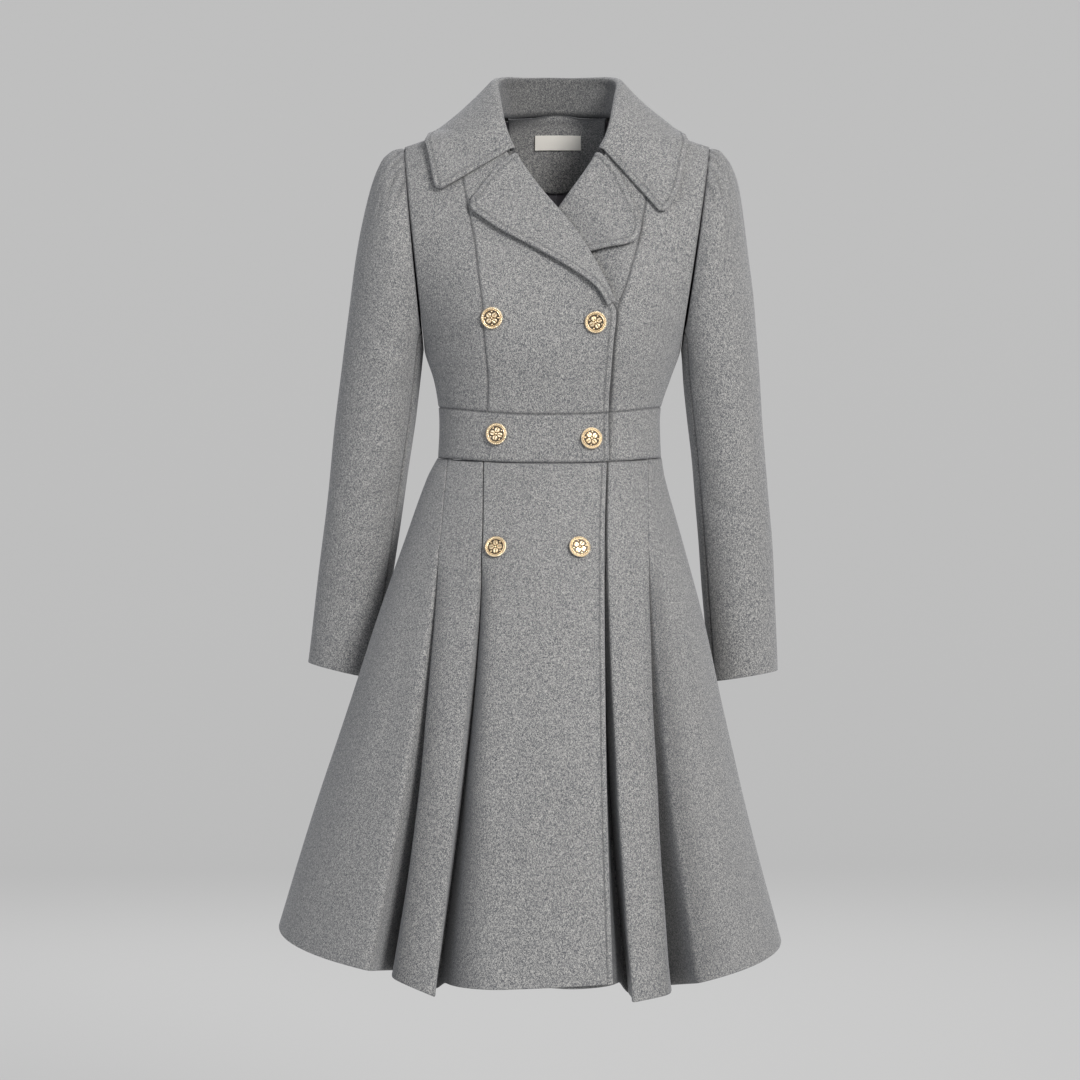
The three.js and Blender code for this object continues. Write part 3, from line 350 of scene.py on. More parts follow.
# Main creases as seen from the front or back: from, to, width and height (below zero is a trough)
CREASES = {
    "right_front_side": ((-150, -250, -96, -214, 9, 1.3), (-148, -262, -100, -262, 8, -1.2)),
    "left_front_side": ((140, -248, 92, -206, 8, 1.1), (141, -260, 96, -250, 9, -1.2)),
    "right_front_centre": ((-60, -300, 20, -325, 13, -0.9), (-50, -150, 10, -262, 17, 0.9)),
    "left_front_centre": ((66, -310, 40, -240, 10, -0.7),),
    "right_back_side": ((-150, -240, -100, -196, 10, 1.4), (-146, -268, -92, -300, 11, -1.3)),
    "left_back_side": ((140, -236, 96, -190, 9, 1.2), (139, -266, 84, -306, 12, -1.2)),
    "right_back_centre": ((-80, -318, -14, -300, 11, -1.3), (-70, -286, -12, -276, 9, 1)),
    "left_back_centre": ((70, -322, 2, -308, 10, -1.2), (60, -292, 4, -282, 10, 0.9)),
    "right_skirt_side": ((-170, -560, -250, -860, 17, 2.2), (-150, -500, -205, -760, 12, -1.6)),
    "left_skirt_side": ((140, -560, 200, -880, 15, 2), (124, -520, 172, -800, 13, -1.7)),
    "right_skirt_middle": ((-112, -560, -150, -900, 12, 0.9), (-100, -640, -128, -930, 9, -0.8)),
    "left_skirt_middle": ((82, -560, 104, -900, 11, 0.9), (70, -640, 92, -930, 9, -0.8)),
    "right_skirt_centre": ((-40, -520, -60, -960, 24, -1.3), (10, -560, 6, -960, 26, 1.2)),
    "right_skirt_back_side": ((-150, -520, -230, -900, 18, 2.2), (-120, -480, -180, -820, 15, -2)),
    "left_skirt_back_side": ((120, -520, 180, -900, 17, 2), (100, -470, 140, -800, 15, -1.9)),
    "right_skirt_back_centre": ((-50, -520, -90, -920, 16, 1.6), (-30, -470, -52, -880, 13, -1.5)),
    "left_skirt_back_centre": ((20, -520, 36, -920, 17, 1.7), (6, -480, 0, -860, 12, -1.4)),
}
# Sleeve creases: from and to as degrees round the sleeve and level, then width and height
SLEEVE_CREASES = {
    "right": (
        (-150, -300, -70, -268, 9, 1.9),
        (-140, -322, -60, -300, 9, -2),
        (-160, -395, -90, -372, 10, 2.1),
        (-155, -428, -60, -452, 11, -2.2),
        (-60, -470, -20, -420, 12, 1.2),
        (40, -250, 110, -300, 12, 1.8),
        (60, -390, 140, -360, 12, -2),
        (80, -440, 150, -474, 11, 1.8),
        (-90, -560, -40, -600, 14, -1.2),
    ),
    "left": (
        (-150, -292, -76, -262, 9, 1.9),
        (-146, -316, -66, -294, 8, -1.9),
        (-150, -402, -80, -386, 10, 2),
        (-150, -440, -66, -462, 10, -2.2),
        (-50, -486, -14, -440, 12, 1.2),
        (46, -260, 120, -310, 12, 1.8),
        (66, -396, 144, -372, 12, -2),
        (86, -452, 150, -480, 11, 1.8),
        (-100, -570, -46, -548, 13, -1.2),
    ),
}


def lerp(a, b, t):
    return a + (b - a) * t


def smooth(t):
    c = np.clip(t, 0, 1)
    return c * c * (3 - 2 * c)


def read(rows, key, at, column):
    """Smooth value of one column of a table whose key column rises."""
    keys = rows[key]
    values = rows[column]
    slopes = np.empty(len(keys))
    slopes[1:-1] = (values[2:] - values[:-2]) / (keys[2:] - keys[:-2])
    slopes[0] = (values[1] - values[0]) / (keys[1] - keys[0])
    slopes[-1] = (values[-1] - values[-2]) / (keys[-1] - keys[-2])
    at = np.clip(at, keys[0], keys[-1])
    i = np.searchsorted(keys[1:-1], at)
    span = keys[i + 1] - keys[i]
    t = (at - keys[i]) / span
    rise = values[i + 1] - values[i]
    curve = slopes[i] * (1 - t) - slopes[i + 1] * t
    return values[i] + rise * t * t * (3 - 2 * t) + span * t * (1 - t) * curve


def read_row(rows, row, column):
    """Smooth value of one column at a fractional row number."""
    numbered = {"row": np.arange(len(rows[column]), dtype=float), column: rows[column]}
    return read(numbered, "row", row, column)


def unit(vectors):
    """The same directions with a length of one."""
    length = np.linalg.norm(vectors, axis=-1, keepdims=True)
    return vectors / np.maximum(length, 1e-9)


def evenly(length, gap=CELL):
    """Places from 0 to a length, close together near both ends."""
    near = np.array(NEAR_EDGE, float)
    if length < 3 * near[-1]:
        near = near * length / (3 * near[-1])
    count = max(int(math.ceil((length - 2 * near[-1]) / gap)), 1)
    middle = np.linspace(near[-1], length - near[-1], count + 1)
    return np.concatenate([near[:-1], middle, length - near[-2::-1]])


def rows_between(top, bottom, kept=(), gap=CELL):
    """Levels from top to bottom, close together near both ends, with some levels kept exactly."""
    levels = top - evenly(top - bottom, gap)
    for level in kept:
        levels[np.argmin(np.abs(levels - level))] = level
    return levels


def armhole(sign, z):
    """Where the armhole crosses a level: its x, and how far it reaches before and behind its middle."""

    def first(column):
        return np.where(np.asarray(sign) < 0, SLEEVE["right"][column][0], SLEEVE["left"][column][0])

    middle = (first("inner_z") + first("outer_z")) / 2
    reach = (first("outer_z") - first("inner_z")) / 2
    up = np.clip((z - middle) / reach, -1, 1)
    x = (first("inner_x") + first("outer_x")) / 2 + up * (first("outer_x") - first("inner_x")) / 2
    return x, first("half_depth") * np.sqrt(1 - up * up)


def half_width(sign, z, depth):
    """Half width of the body section, wide enough at the armhole to pass through its edge."""
    shoulder = np.maximum(NECK_HALF + z * (SHOULDER_X - NECK_HALF) / SHOULDER_Z, 1)
    below = read(BODY, "z", z, "half_width")
    hole_x, hole_depth = armhole(sign, z)
    share = np.clip(hole_depth / depth, 0, 0.999) ** SQUARENESS
    reach = np.abs(hole_x - read(BODY, "z", z, "centre_x"))
    beside = reach / (1 - share) ** (1 / SQUARENESS)
    return np.where(z >= SHOULDER_Z, shoulder, np.where(z <= UNDERARM_Z, below, beside))


def bust(x, z, centre_x):
    across = (np.abs(x - centre_x) - BUST["x"]) / BUST["width"]
    up = (z - BUST["z"]) / BUST["height"]
    return BUST["fullness"] * np.exp(-across * across - up * up)


def body_point(around, z, inset=0.0):
    """Points of the body's outer surface: around is 0 at centre front and 90 at the left side."""
    around, z = np.broadcast_arrays(np.asarray(around, float), np.asarray(z, float))
    sine = np.sin(np.radians(around))
    cosine = np.cos(np.radians(around))
    front = cosine > 0
    depth = np.where(front, read(BODY, "z", z, "front"), read(BODY, "z", z, "back"))
    centre_x = read(BODY, "z", z, "centre_x")
    width = half_width(np.where(sine < 0, -1, 1), z, depth)
    across = np.abs(sine) ** (2 / SQUARENESS)
    out = np.abs(cosine) ** (2 / SQUARENESS)
    x = centre_x + np.sign(sine) * width * across
    swell = np.where(front, bust(x, z, centre_x) * np.minimum(1, 2 * out) * out, 0)
    y = SIDE_Y + np.where(front, -1, 1) * (depth * out + swell - inset)
    return np.stack([x, y, z], axis=-1)


def around_at(x, z, back=False):
    """Direction round the body of a given place across it."""
    depth = read(BODY, "z", z, "back" if back else "front")
    from_centre = x - read(BODY, "z", z, "centre_x")
    width = half_width(np.where(from_centre < 0, -1, 1), z, depth)
    share = np.clip(np.abs(from_centre) / width, 0, 1) ** (SQUARENESS / 2)
    angle = np.degrees(np.arcsin(share)) * np.sign(from_centre)
    return 180 - angle if back else angle


def side_edge(side, z, back):
    """Edge of the body panels at the side: shoulder seam, armhole, then side seam."""
    sign = SIGN[side]
    hole_x, _ = armhole(sign, z)
    closed = (z >= SHOULDER_Z) | (z <= UNDERARM_Z)
    seam = 180 - 90 * sign if back else 90 * sign
    return np.where(closed, seam, around_at(hole_x, z, back))


def princess(side, z, back):
    half = read(PRINCESS, "z", z, "back" if back else side)
    return around_at(read(BODY, "z", z, "centre_x") + SIGN[side] * half, z, back)


def left_inset(x, z):
    """How deep the left front lies under the right one."""
    full = lerp(LAPEL_UNDERLAP, UNDERLAP, smooth((LAPEL_LEFT_END - z) / 40))
    beyond = x - read(FRONT_EDGE, "z", z, "right")
    return full * smooth(1 - beyond / UNDERLAP_FADE)


def distance_out(points):
    """Roughly how far points lie outside the bodice, from the section at their own level."""
    x, y, z = np.moveaxis(points, -1, 0)
    front = y < SIDE_Y
    depth = np.where(front, read(BODY, "z", z, "front"), read(BODY, "z", z, "back"))
    centre_x = read(BODY, "z", z, "centre_x")
    width = half_width(np.where(x < centre_x, -1, 1), z, depth)
    swell = np.where(front, bust(x, z, centre_x), 0)
    out = np.maximum(np.abs(y - SIDE_Y) - swell, 0) / depth
    across = np.abs(x - centre_x) / width
    reach = (across**SQUARENESS + out**SQUARENESS) ** (1 / SQUARENESS)
    return (reach - 1) * np.minimum(width, depth)


def clearance(points):
    """Distance outside the bodice along its outward direction, with that direction."""
    step = 0.5
    distance = distance_out(points)
    slopes = []
    for axis in range(3):
        moved = points.copy()
        moved[..., axis] += step
        slopes.append((distance_out(moved) - distance) / step)
    gradient = np.stack(slopes, axis=-1)
    length = np.linalg.norm(gradient, axis=-1)
    return distance / length, gradient / length[..., None]


def kept_off(points, gap):
    """Points moved outwards where they would lie closer to the bodice than a gap."""
    moved = points.copy()
    for _ in range(4):
        distance, outward = clearance(moved)
        moved += outward * np.maximum(gap - distance, 0)[..., None]
    return moved


def on_front(x, z, gap):
    """Points of the front at places seen from the front, moved out by a gap square to the cloth."""
    points = body_point(around_at(x, z), z)
    for _ in range(4):
        distance, outward = clearance(points)
        points[..., 1] -= (gap - distance) / -outward[..., 1]
    return points


def dip(around):
    return np.maximum(0, np.cos(np.radians(around))) ** 2


def waist_top(around):
    return WAIST_TOP - WAIST_DIP_TOP * dip(around)


def waist_bottom(around):
    return WAIST_BOTTOM - WAIST_DIP_BOTTOM * dip(around)


def row_z(row, around):
    """Level of a row: the back neck rises, and the rows below the bust follow the waist seam."""
    cosine = np.cos(np.radians(around))
    risen = row + BACK_NECK_RISE * cosine**2 * (1 - row / SHOULDER_Z)
    share = (row - UNDERARM_Z) / (WAIST_TOP - UNDERARM_Z)
    waisted = lerp(UNDERARM_Z, waist_top(around), share)
    level = np.where(row >= UNDERARM_Z, row, waisted)
    return np.where((row > SHOULDER_Z) & (cosine < 0), risen, level)


def inset_point(around, z, inset_at):
    """Points of the body's outer surface, moved in where an inset is given for their place."""
    flat = body_point(around, z)
    return flat if inset_at is None else body_point(around, z, inset_at(flat[..., 0], z))


# Walls of cloth


def edge_lines(surface):
    """The four edges of a grid of points by name."""
    return {"top": surface[0], "bottom": surface[-1], "start": surface[:, 0], "end": surface[:, -1]}


def edge_kinds(order, kind="seam", **others):
    """One kind of edge all round, in the order of their shaping, apart from the edges that are named."""
    return {**dict.fromkeys(order.split(), kind), **others}


def normals(grid):
    """Outward directions inside a framed grid, whose rows run down and columns anticlockwise from above."""
    down = grid[1:, 1:] - grid[:-1, :-1]
    across = grid[:-1, 1:] - grid[1:, :-1]
    face = unit(np.cross(down, across))
    return unit(face[1:, 1:] + face[:-1, 1:] + face[1:, :-1] + face[:-1, :-1])


def framed(grid):
    """A grid with a border that carries its first and last steps on."""
    wide = np.concatenate([2 * grid[:, :1] - grid[:, 1:2], grid, 2 * grid[:, -1:] - grid[:, -2:-1]], axis=1)
    return np.concatenate([2 * wide[:1] - wide[1:2], wide, 2 * wide[-1:] - wide[-2:-1]])


def trimmed(grid):
    """A framed grid with each edge drawn back by half a seam gap."""

    def pull(beyond, edge, inside):
        return edge + unit(inside - beyond) * SEAM / 2

    cut = grid.copy()
    cut[:, 1] = pull(grid[:, 0], grid[:, 1], grid[:, 2])
    cut[:, -2] = pull(grid[:, -1], grid[:, -2], grid[:, -3])
    done = cut.copy()
    done[1] = pull(cut[0], cut[1], cut[2])
    done[-2] = pull(cut[-1], cut[-2], cut[-3])
    return done


def piece_grid(rows, shares, point_at):
    """Framed points of a piece between two edges, row by row."""
    carried = np.concatenate([[2 * rows[0] - rows[1]], rows, [2 * rows[-1] - rows[-2]]])
    wide = np.concatenate([[-shares[1]], shares, [2 - shares[-2]]])
    return point_at(*np.meshgrid(carried, wide, indexing="ij"))


def distance_to(points, line):
    """Distance of each point of a grid from a line of points."""
    flat = points.reshape(-1, 1, 3)
    start = line[None, :-1]
    along = line[None, 1:] - start
    length = np.maximum((along**2).sum(-1), 1e-9)
    t = np.clip(((flat - start) * along).sum(-1) / length, 0, 1)
    gap = flat - start - t[..., None] * along
    return np.sqrt((gap**2).sum(-1).min(axis=1)).reshape(points.shape[:-1])


def crease_height(u, v, creases):
    """Height of soft troughs and ridges at places given by two coordinates."""
    height = np.zeros(np.shape(u))
    for u0, v0, u1, v1, width, rise in creases:
        along = np.array((u1 - u0, v1 - v0), float)
        length = np.hypot(*along)
        du, dv = along / length
        t = ((u - u0) * du + (v - v0) * dv) / length
        off = (u - u0) * -dv + (v - v0) * du
        taper = np.sin(np.pi * np.clip(t, 0, 1)) ** 0.8
        height += rise * taper * np.exp(-((off / width) ** 2))
    return height


def creases_of(name, grid):
    """Height of a panel's creases over its framed grid."""
    inside = grid[1:-1, 1:-1]
    return crease_height(inside[..., 0], inside[..., 2], CREASES.get(name, ()))


def unevenness(points, height=0.35):
    """Slow, shallow waves that keep a wide cloth from looking pressed flat."""
    x, y, z = np.moveaxis(points, -1, 0)
    wave = np.sin(x / 17 + 1.3 * np.sin(z / 61)) * np.sin(z / 43 + y / 29)
    return height * (wave + 0.6 * np.sin(x / 9.1 - z / 23 + y / 13))


def rounding(distance, thickness):
    """How far each face of a folded edge turns in towards the middle of the wall."""
    half = thickness / 2
    near = 1 - np.clip(distance / half, 0, 1)
    return 0.94 * half * (1 - np.sqrt(1 - near * near))


def cloth_layers(grid, edges, thickness=CLOTH, height=0.0, welt=True):
    """Outer and inner points of a wall, with its seams rolled in and its free edges folded over."""
    base = grid[1:-1, 1:-1]
    outward = normals(grid)
    lines = edge_lines(base)
    lift = height + unevenness(base)
    sink = np.zeros(base.shape[:-1])
    for place, kind in edges.items():
        distance = distance_to(base, lines[place])
        hold = smooth(distance / 14)
        if kind == "seam":
            lift = lift * hold - SEAM_ROLL["depth"] * np.exp(-((distance / SEAM_ROLL["width"]) ** 2))
        elif kind in ("free", "hem"):
            lift = lift * lerp(0.35, 1, hold)
            if welt and kind == "free":
                band = smooth(distance / 2) * smooth((WELT["stitch_at"] + 5 - distance) / 5)
                groove = np.exp(-(((distance - WELT["stitch_at"]) / WELT["groove_width"]) ** 2))
                lift += WELT["swell"] * band - WELT["groove"] * groove
            turn = rounding(distance, thickness)
            lift -= turn
            sink += turn
        else:
            lift = lift * hold
    outer = base + outward * lift[..., None]
    inner = base - outward * (thickness - sink)[..., None]
    return outer, inner


def painted_edge_shade(outer, edges, welt=True):
    """Painted shade in the cloth's seams, along its hidden edges, and along its free edges and their stitch
    lines.
    """
    lines = edge_lines(outer)
    dark = np.zeros(outer.shape[:-1])
    for place, kind in edges.items():
        distance = distance_to(outer, lines[place])
        marks = ()
        if kind == "seam":
            marks = (("seam", 0, 1.5),)
        elif kind == "hidden":
            marks = (("hidden", 0, 1.6),)
        elif kind == "free" and welt:
            marks = (("stitch", WELT["stitch_at"], 0.9), ("edge", 0, 0.8))
        for mark, at, width in marks:
            dark = np.maximum(dark, PAINTED_SHADE_SHARES[mark] * np.exp(-(((distance - at) / width) ** 2)))
    return dark


def under_front_edge(points):
    """Soft shade on the left front, close beside the right front's edge."""
    x, _, z = np.moveaxis(points, -1, 0)
    bodice = read(FRONT_EDGE, "z", z, "right")
    skirt = np.interp(-z, [-level for level in LEVELS], PLEATS["right"]["edge"]["x"])
    beyond = x - np.where(z > LEVELS[0], bodice, skirt)
    near = np.exp(-((np.clip(beyond, 0, None) / 3.2) ** 2)) * (beyond > -8)
    return PAINTED_SHADE_SHARES["under"] * near * smooth((-196 - z) / 24)


def pleat_shade(name, points):
    """Soft shade on a skirt panel beside the fold that lies over it."""
    if name not in PLEAT_SHADE:
        return 0.0
    side, fold, width, strength = PLEAT_SHADE[name]
    x, _, z = np.moveaxis(points, -1, 0)
    line = np.interp(-z, [-level for level in LEVELS], PLEATS[side][fold]["x"])
    opened = np.clip((LEVELS[1] - z) / (LEVELS[1] - LEVELS[3]), 0, 1) ** 0.7
    away = np.abs(x - line) / (width * (0.3 + 0.7 * opened))
    return strength * smooth(4 * opened) * np.exp(-(away**2))


def new_object(name, points, faces, materials, indices=None):
    """A mesh object in metres, from points in millimetres."""
    mesh = bpy.data.meshes.new(name)
    mesh.from_pydata((np.asarray(points, float) * MM).tolist(), [], faces)
    for each in materials:
        mesh.materials.append(each)
    if indices is not None:
        mesh.polygons.foreach_set("material_index", np.asarray(indices, np.int32))
    mesh.polygons.foreach_set("use_smooth", np.ones(len(mesh.polygons), bool))
    mesh.update()
    obj = bpy.data.objects.new(name, mesh)
    bpy.context.scene.collection.objects.link(obj)
    return obj


def shell(name, outer, inner, materials, lined=None):
    """Closed wall between two grids of the same size. Lined marks where the inside shows the lining."""
    rows, columns = outer.shape[:2]
    number = np.arange(rows * columns).reshape(rows, columns)
    back = number + rows * columns

    def strip(a, b):
        return np.stack([a[:-1], b[:-1], b[1:], a[1:]], axis=-1).reshape(-1, 4)

    a, b, c, d = number[:-1, :-1], number[1:, :-1], number[1:, 1:], number[:-1, 1:]
    front = np.stack([a, b, c, d], axis=-1).reshape(-1, 4)
    behind = np.stack([a, d, c, b], axis=-1).reshape(-1, 4) + rows * columns
    rims = [
        strip(back[:, 0], number[:, 0])[:, ::-1],
        strip(number[:, -1], back[:, -1])[:, ::-1],
        strip(number[0], back[0])[:, ::-1],
        strip(back[-1], number[-1])[:, ::-1],
    ]
    faces = np.concatenate([front, behind, *rims])
    indices = np.zeros(len(faces), np.int32)
    if lined is not None:
        inside = lined[:-1, :-1] & lined[1:, 1:]
        indices[len(front) : len(front) * 2] = inside.ravel()
    points = np.concatenate([outer.reshape(-1, 3), inner.reshape(-1, 3)])
    return new_object(name, points, faces.tolist(), materials, indices)


def finish_piece(obj, node):
    """The piece moves with the coat and stands for its solid in the frame."""
    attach(obj, "root")
    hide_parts(node)
    return obj


SURFACES = {}


def cloth_piece(name, grid, edges, held="hung", rests_on=(), lining_from=None, painted_crease_shade=0.0, **how):
    """Builds one cut-and-sewn piece of the coat; the size of its cut is worked out but not kept."""
    outer, inner = cloth_layers(grid, edges, **how)
    lined = None
    if lining_from is not None:
        free = [place for place, kind in edges.items() if kind in ("free", "hem")]
        lines = edge_lines(outer)
        lined = np.ones(outer.shape[:2], bool)
        for place in free:
            lined &= distance_to(outer, lines[place]) > lining_from
    SURFACES[name] = outer
    materials = [once("Grey Melton Wool", wool), once("Grey Lining", woven)]
    obj = shell(f"{name}_cloth", outer, inner, materials, lined)
    # Painted shade: darker in seams, along edges and stitch lines, in gather troughs, beside the right
    # front's edge and beside the skirt's folds, kept on the points for the wool to read
    dark = np.maximum(painted_edge_shade(outer, edges, how.get("welt", True)), painted_crease_shade)
    if name.startswith(("left_front", "waistband_left", "left_skirt_centre")):
        dark = np.maximum(dark, under_front_edge(outer))
    dark = np.maximum(dark, pleat_shade(name, outer))
    attribute = obj.data.attributes.new("pressed", "FLOAT", "POINT")
    attribute.data.foreach_set("value", np.concatenate([dark.ravel(), dark.ravel()]))
    finish_piece(obj, name)
    width, length, area = cut_size(outer)
    list(rests_on)
    return obj


def cut_size(outer):
    """Width, length and area of a surface laid flat, in metres."""
    across = np.linalg.norm(np.diff(outer, axis=1), axis=-1).sum(axis=1)
    down = np.linalg.norm(np.diff(outer, axis=0), axis=-1).sum(axis=0)
    diagonal = outer[1:, 1:] - outer[:-1, :-1]
    other = outer[:-1, 1:] - outer[1:, :-1]
    area = np.linalg.norm(np.cross(diagonal, other), axis=-1).sum() / 2
    width = across.max() * MM
    length = down.max() * MM
    return width, length, area * MM * MM


# Bodice and waistband


def body_panel(name, rows, width, start, end, edges, inset_at=None, **how):
    def point_at(row, share):
        around = lerp(start(row), end(row), share)
        return inset_point(around, row_z(row, around), inset_at)

    grid = trimmed(piece_grid(rows, evenly(width) / width, point_at))
    cloth_piece(name, grid, edges, height=creases_of(name, grid), **how)


def build_bodice():
    """Two fronts with princess seams, and a back in four."""
    centre_rows = rows_between(-2, WAIST_TOP, (-14.4, -34, -264))
    side_rows = rows_between(-15.6, WAIST_TOP, (-34, -264))
    back_rows = rows_between(0, WAIST_TOP, (-14.4, -34, -264))

    def top(side, back):
        return lambda row: np.where(row > -14.4, side_edge(side, row, back), princess(side, row, back))

    def edge(side):
        return lambda row: around_at(read(FRONT_EDGE, "z", row_z(row, 0.0), side), row)

    def middle(row):
        return np.full(np.shape(row), 180.0)

    seams = edge_kinds(BODICE_EDGES)
    body_panel("right_front_centre", centre_rows, 150, top("right", False), edge("right"),
               edge_kinds(BODICE_EDGES, end="free"), lining_from=LINING_FROM["front"])
    body_panel("left_front_centre", centre_rows, 150, edge("left"), top("left", False),
               edge_kinds(BODICE_EDGES, start="free"), left_inset, lining_from=LINING_FROM["front"])
    for side in ("right", "left"):
        right = side == "right"

        def seam(back):
            return lambda row: princess(side, row, back)

        def outer(back):
            return lambda row: side_edge(side, row, back)

        front = (outer(False), seam(False)) if right else (seam(False), outer(False))
        behind = (seam(True), outer(True)) if right else (outer(True), seam(True))
        centre = (middle, top(side, True)) if right else (top(side, True), middle)
        inset = None if right else left_inset
        body_panel(f"{side}_front_side", side_rows, 72, *front, seams, inset, lining_from=0)
        body_panel(f"{side}_back_side", side_rows, 72, *behind, seams, lining_from=0)
        body_panel(f"{side}_back_centre", back_rows, 96, *centre, seams, lining_from=0)


def build_waistband():
    """Right front over left front, and one back piece."""

    def band(name, width, start, end, edges, inset_at=None):
        def point_at(share, across):
            around = lerp(start, end, across)
            return inset_point(around, lerp(waist_top(around), waist_bottom(around), share), inset_at)

        grid = trimmed(piece_grid(evenly(58.0) / 58, evenly(width) / width, point_at))
        cloth_piece(name, grid, edges, height=creases_of(name, grid), lining_from=LINING_FROM["waistband"])

    middle_z = (WAIST_TOP + WAIST_BOTTOM) / 2
    right_edge = around_at(read(FRONT_EDGE, "z", middle_z, "right"), middle_z)
    left_edge = around_at(read(FRONT_EDGE, "z", middle_z, "left"), middle_z)
    band("waistband_right_front", 215.0, -90, right_edge, edge_kinds(WAIST_EDGES, end="free"))
    band("waistband_left_front", 215.0, left_edge, 90, edge_kinds(WAIST_EDGES, start="free"), left_inset)
    band("waistband_back", 330.0, 90, 270, edge_kinds(WAIST_EDGES))


# Skirt


def skirt_point(around, share, z, inset):
    level = lerp(SKIRT_TOP, SKIRT_HEM, share)

    def at(column):
        return read(SKIRT, "level", level, column)

    angle = np.radians(around)
    depth = np.where(np.cos(angle) > 0, at("front"), at("back"))
    x = at("centre_x") + (at("half_width") - inset) * np.sin(angle)
    y = at("centre_y") - (depth - inset) * np.cos(angle)
    return np.stack(np.broadcast_arrays(x, y, z), axis=-1)


def skirt_top(around):
    """The waistband's lower seam at a direction round the skirt, whose sections are rounder."""
    angle = np.radians(around)
    fall = np.where(np.cos(angle) > 0, WAIST_DIP_BOTTOM, 0)
    return WAIST_BOTTOM - fall * (1 - np.abs(np.sin(angle)) ** SQUARENESS)


def skirt_around(x, share, back):
    level = lerp(SKIRT_TOP, SKIRT_HEM, share)
    from_centre = x - read(SKIRT, "level", level, "centre_x")
    width = read(SKIRT, "level", level, "half_width")
    angle = np.degrees(np.arcsin(np.clip(from_centre / width, -1, 1)))
    return 180 - angle if back else angle


def fold_x(stops, share):
    rows = {"z": np.array(LEVELS[::-1], float), "x": np.array(stops[::-1], float)}
    return read(rows, "z", lerp(LEVELS[0], SKIRT_HEM, share), "x")


def front_stations(side):
    """Folds and troughs of one half of the skirt's front from the side seam to the front edge."""
    sign = -SIGN[side]
    fold = PLEATS[side]
    under = UNDERLAP if side == "left" else 0

    def at(name, entry, shift=0.0, depth=0.0, closed=0.0, **more):
        return {"name": name, "x": fold[entry]["x"], "hem": fold[entry]["hem"], "shift": shift * sign,
                "closed": closed * sign, "depth": depth, "back": False, **more}

    centre_hem = fold["centre"]["hem"]
    return [
        at("side", "side", seam=-90.0 * sign),
        at("outer_fold", "outer"),
        at("outer_trough", "middle", -52, HEM_DEPTH["outer"], -0.4),
        at("middle_start", "middle", 0, HEM_DEPTH["middle"]),
        at("inner_fold", "inner"),
        at("inner_trough", "inner", -34, HEM_DEPTH["inner"], 0.5, under=under),
        at("centre_start", "inner", -18, HEM_DEPTH["centre"], 1, under=under, hem=centre_hem),
        at("centre_full", "inner", 66, 0, 16, under=under, hem=centre_hem),
        at("edge", "edge", under=under),
    ]


def back_stations(side):
    """Folds and troughs of one half of the back from the side seam to the centre."""
    sign = SIGN[side]
    x = tuple(centre + sign * out for centre, out in zip(SKIRT_CENTRE_X, BACK_FOLD))

    def at(name, shift=0.0, depth=0.0, closed=0.0, **more):
        return {"name": name, "x": x, "hem": BACK_HEM["fold"], "shift": shift * sign,
                "closed": closed * sign, "depth": depth, "back": True, **more}

    return [
        at("side", seam=180.0 - sign * 90, hem=PLEATS[side]["side"]["hem"]),
        at("outer_fold", 13, 0, 0.5),
        at("back_trough", 0, HEM_DEPTH["back"]),
        at("inner_fold", -13, 0, -0.5),
        at("middle", seam=180.0, hem=BACK_HEM["centre"]),
    ]


def station_at(station, share):
    opened = np.clip((share - PLEAT_RELEASE) / (1 - PLEAT_RELEASE), 0, 1)
    shift = lerp(station["closed"], station["shift"], opened**PLEAT_TURNING)
    sewn = PLEAT_CLOSED if station["name"].endswith("trough") else 0
    depth = lerp(sewn, station["depth"], opened**PLEAT_DEEPENING) + station.get("under", 0)
    if "seam" in station:
        return np.full(np.shape(share), station["seam"]), depth
    return skirt_around(fold_x(station["x"], share) + shift, share, station["back"]), depth


def risen(start, end, t):
    """The centre panel rises steeply beside the inner fold and levels out towards the middle."""
    if (start, end) == ("centre_start", "centre_full"):
        return 1 - (1 - t) ** MARGIN_RISE
    if (start, end) == ("centre_full", "centre_start"):
        return t**MARGIN_RISE
    return t


def skirt_span(start, end, share, t):
    """Points from one station up to the next, for columns of shares and rows of places between them."""
    start_around, start_depth = station_at(start, share)
    end_around, end_depth = station_at(end, share)
    around = lerp(start_around, end_around, t)
    depth = lerp(start_depth, end_depth, risen(start["name"], end["name"], t))
    z = lerp(skirt_top(around), lerp(start["hem"], end["hem"], t), share)
    return skirt_point(around, share, z, depth)


def rounded(grid, passes):
    """A grid whose folds are softened across its columns, with its first and last columns kept."""
    soft = grid.copy()
    for _ in range(passes):
        soft[:, 1:-1] = (soft[:, :-2] + 2 * soft[:, 1:-1] + soft[:, 2:]) / 4
    return soft


def refined(grid, at_start):
    """More columns beside a free edge, so that its fold and its stitch line show."""
    places = np.array(REFINED_COLUMNS)
    last = grid.shape[1] - 1
    rest = np.arange(math.ceil(places[-1]), last + 1)
    wanted = np.concatenate([places[places < rest[0]], rest])
    if not at_start:
        wanted = last - wanted[::-1]
    before = np.clip(wanted.astype(int), 0, last - 1)
    t = (wanted - before)[None, :, None]
    return lerp(grid[:, before], grid[:, before + 1], t)


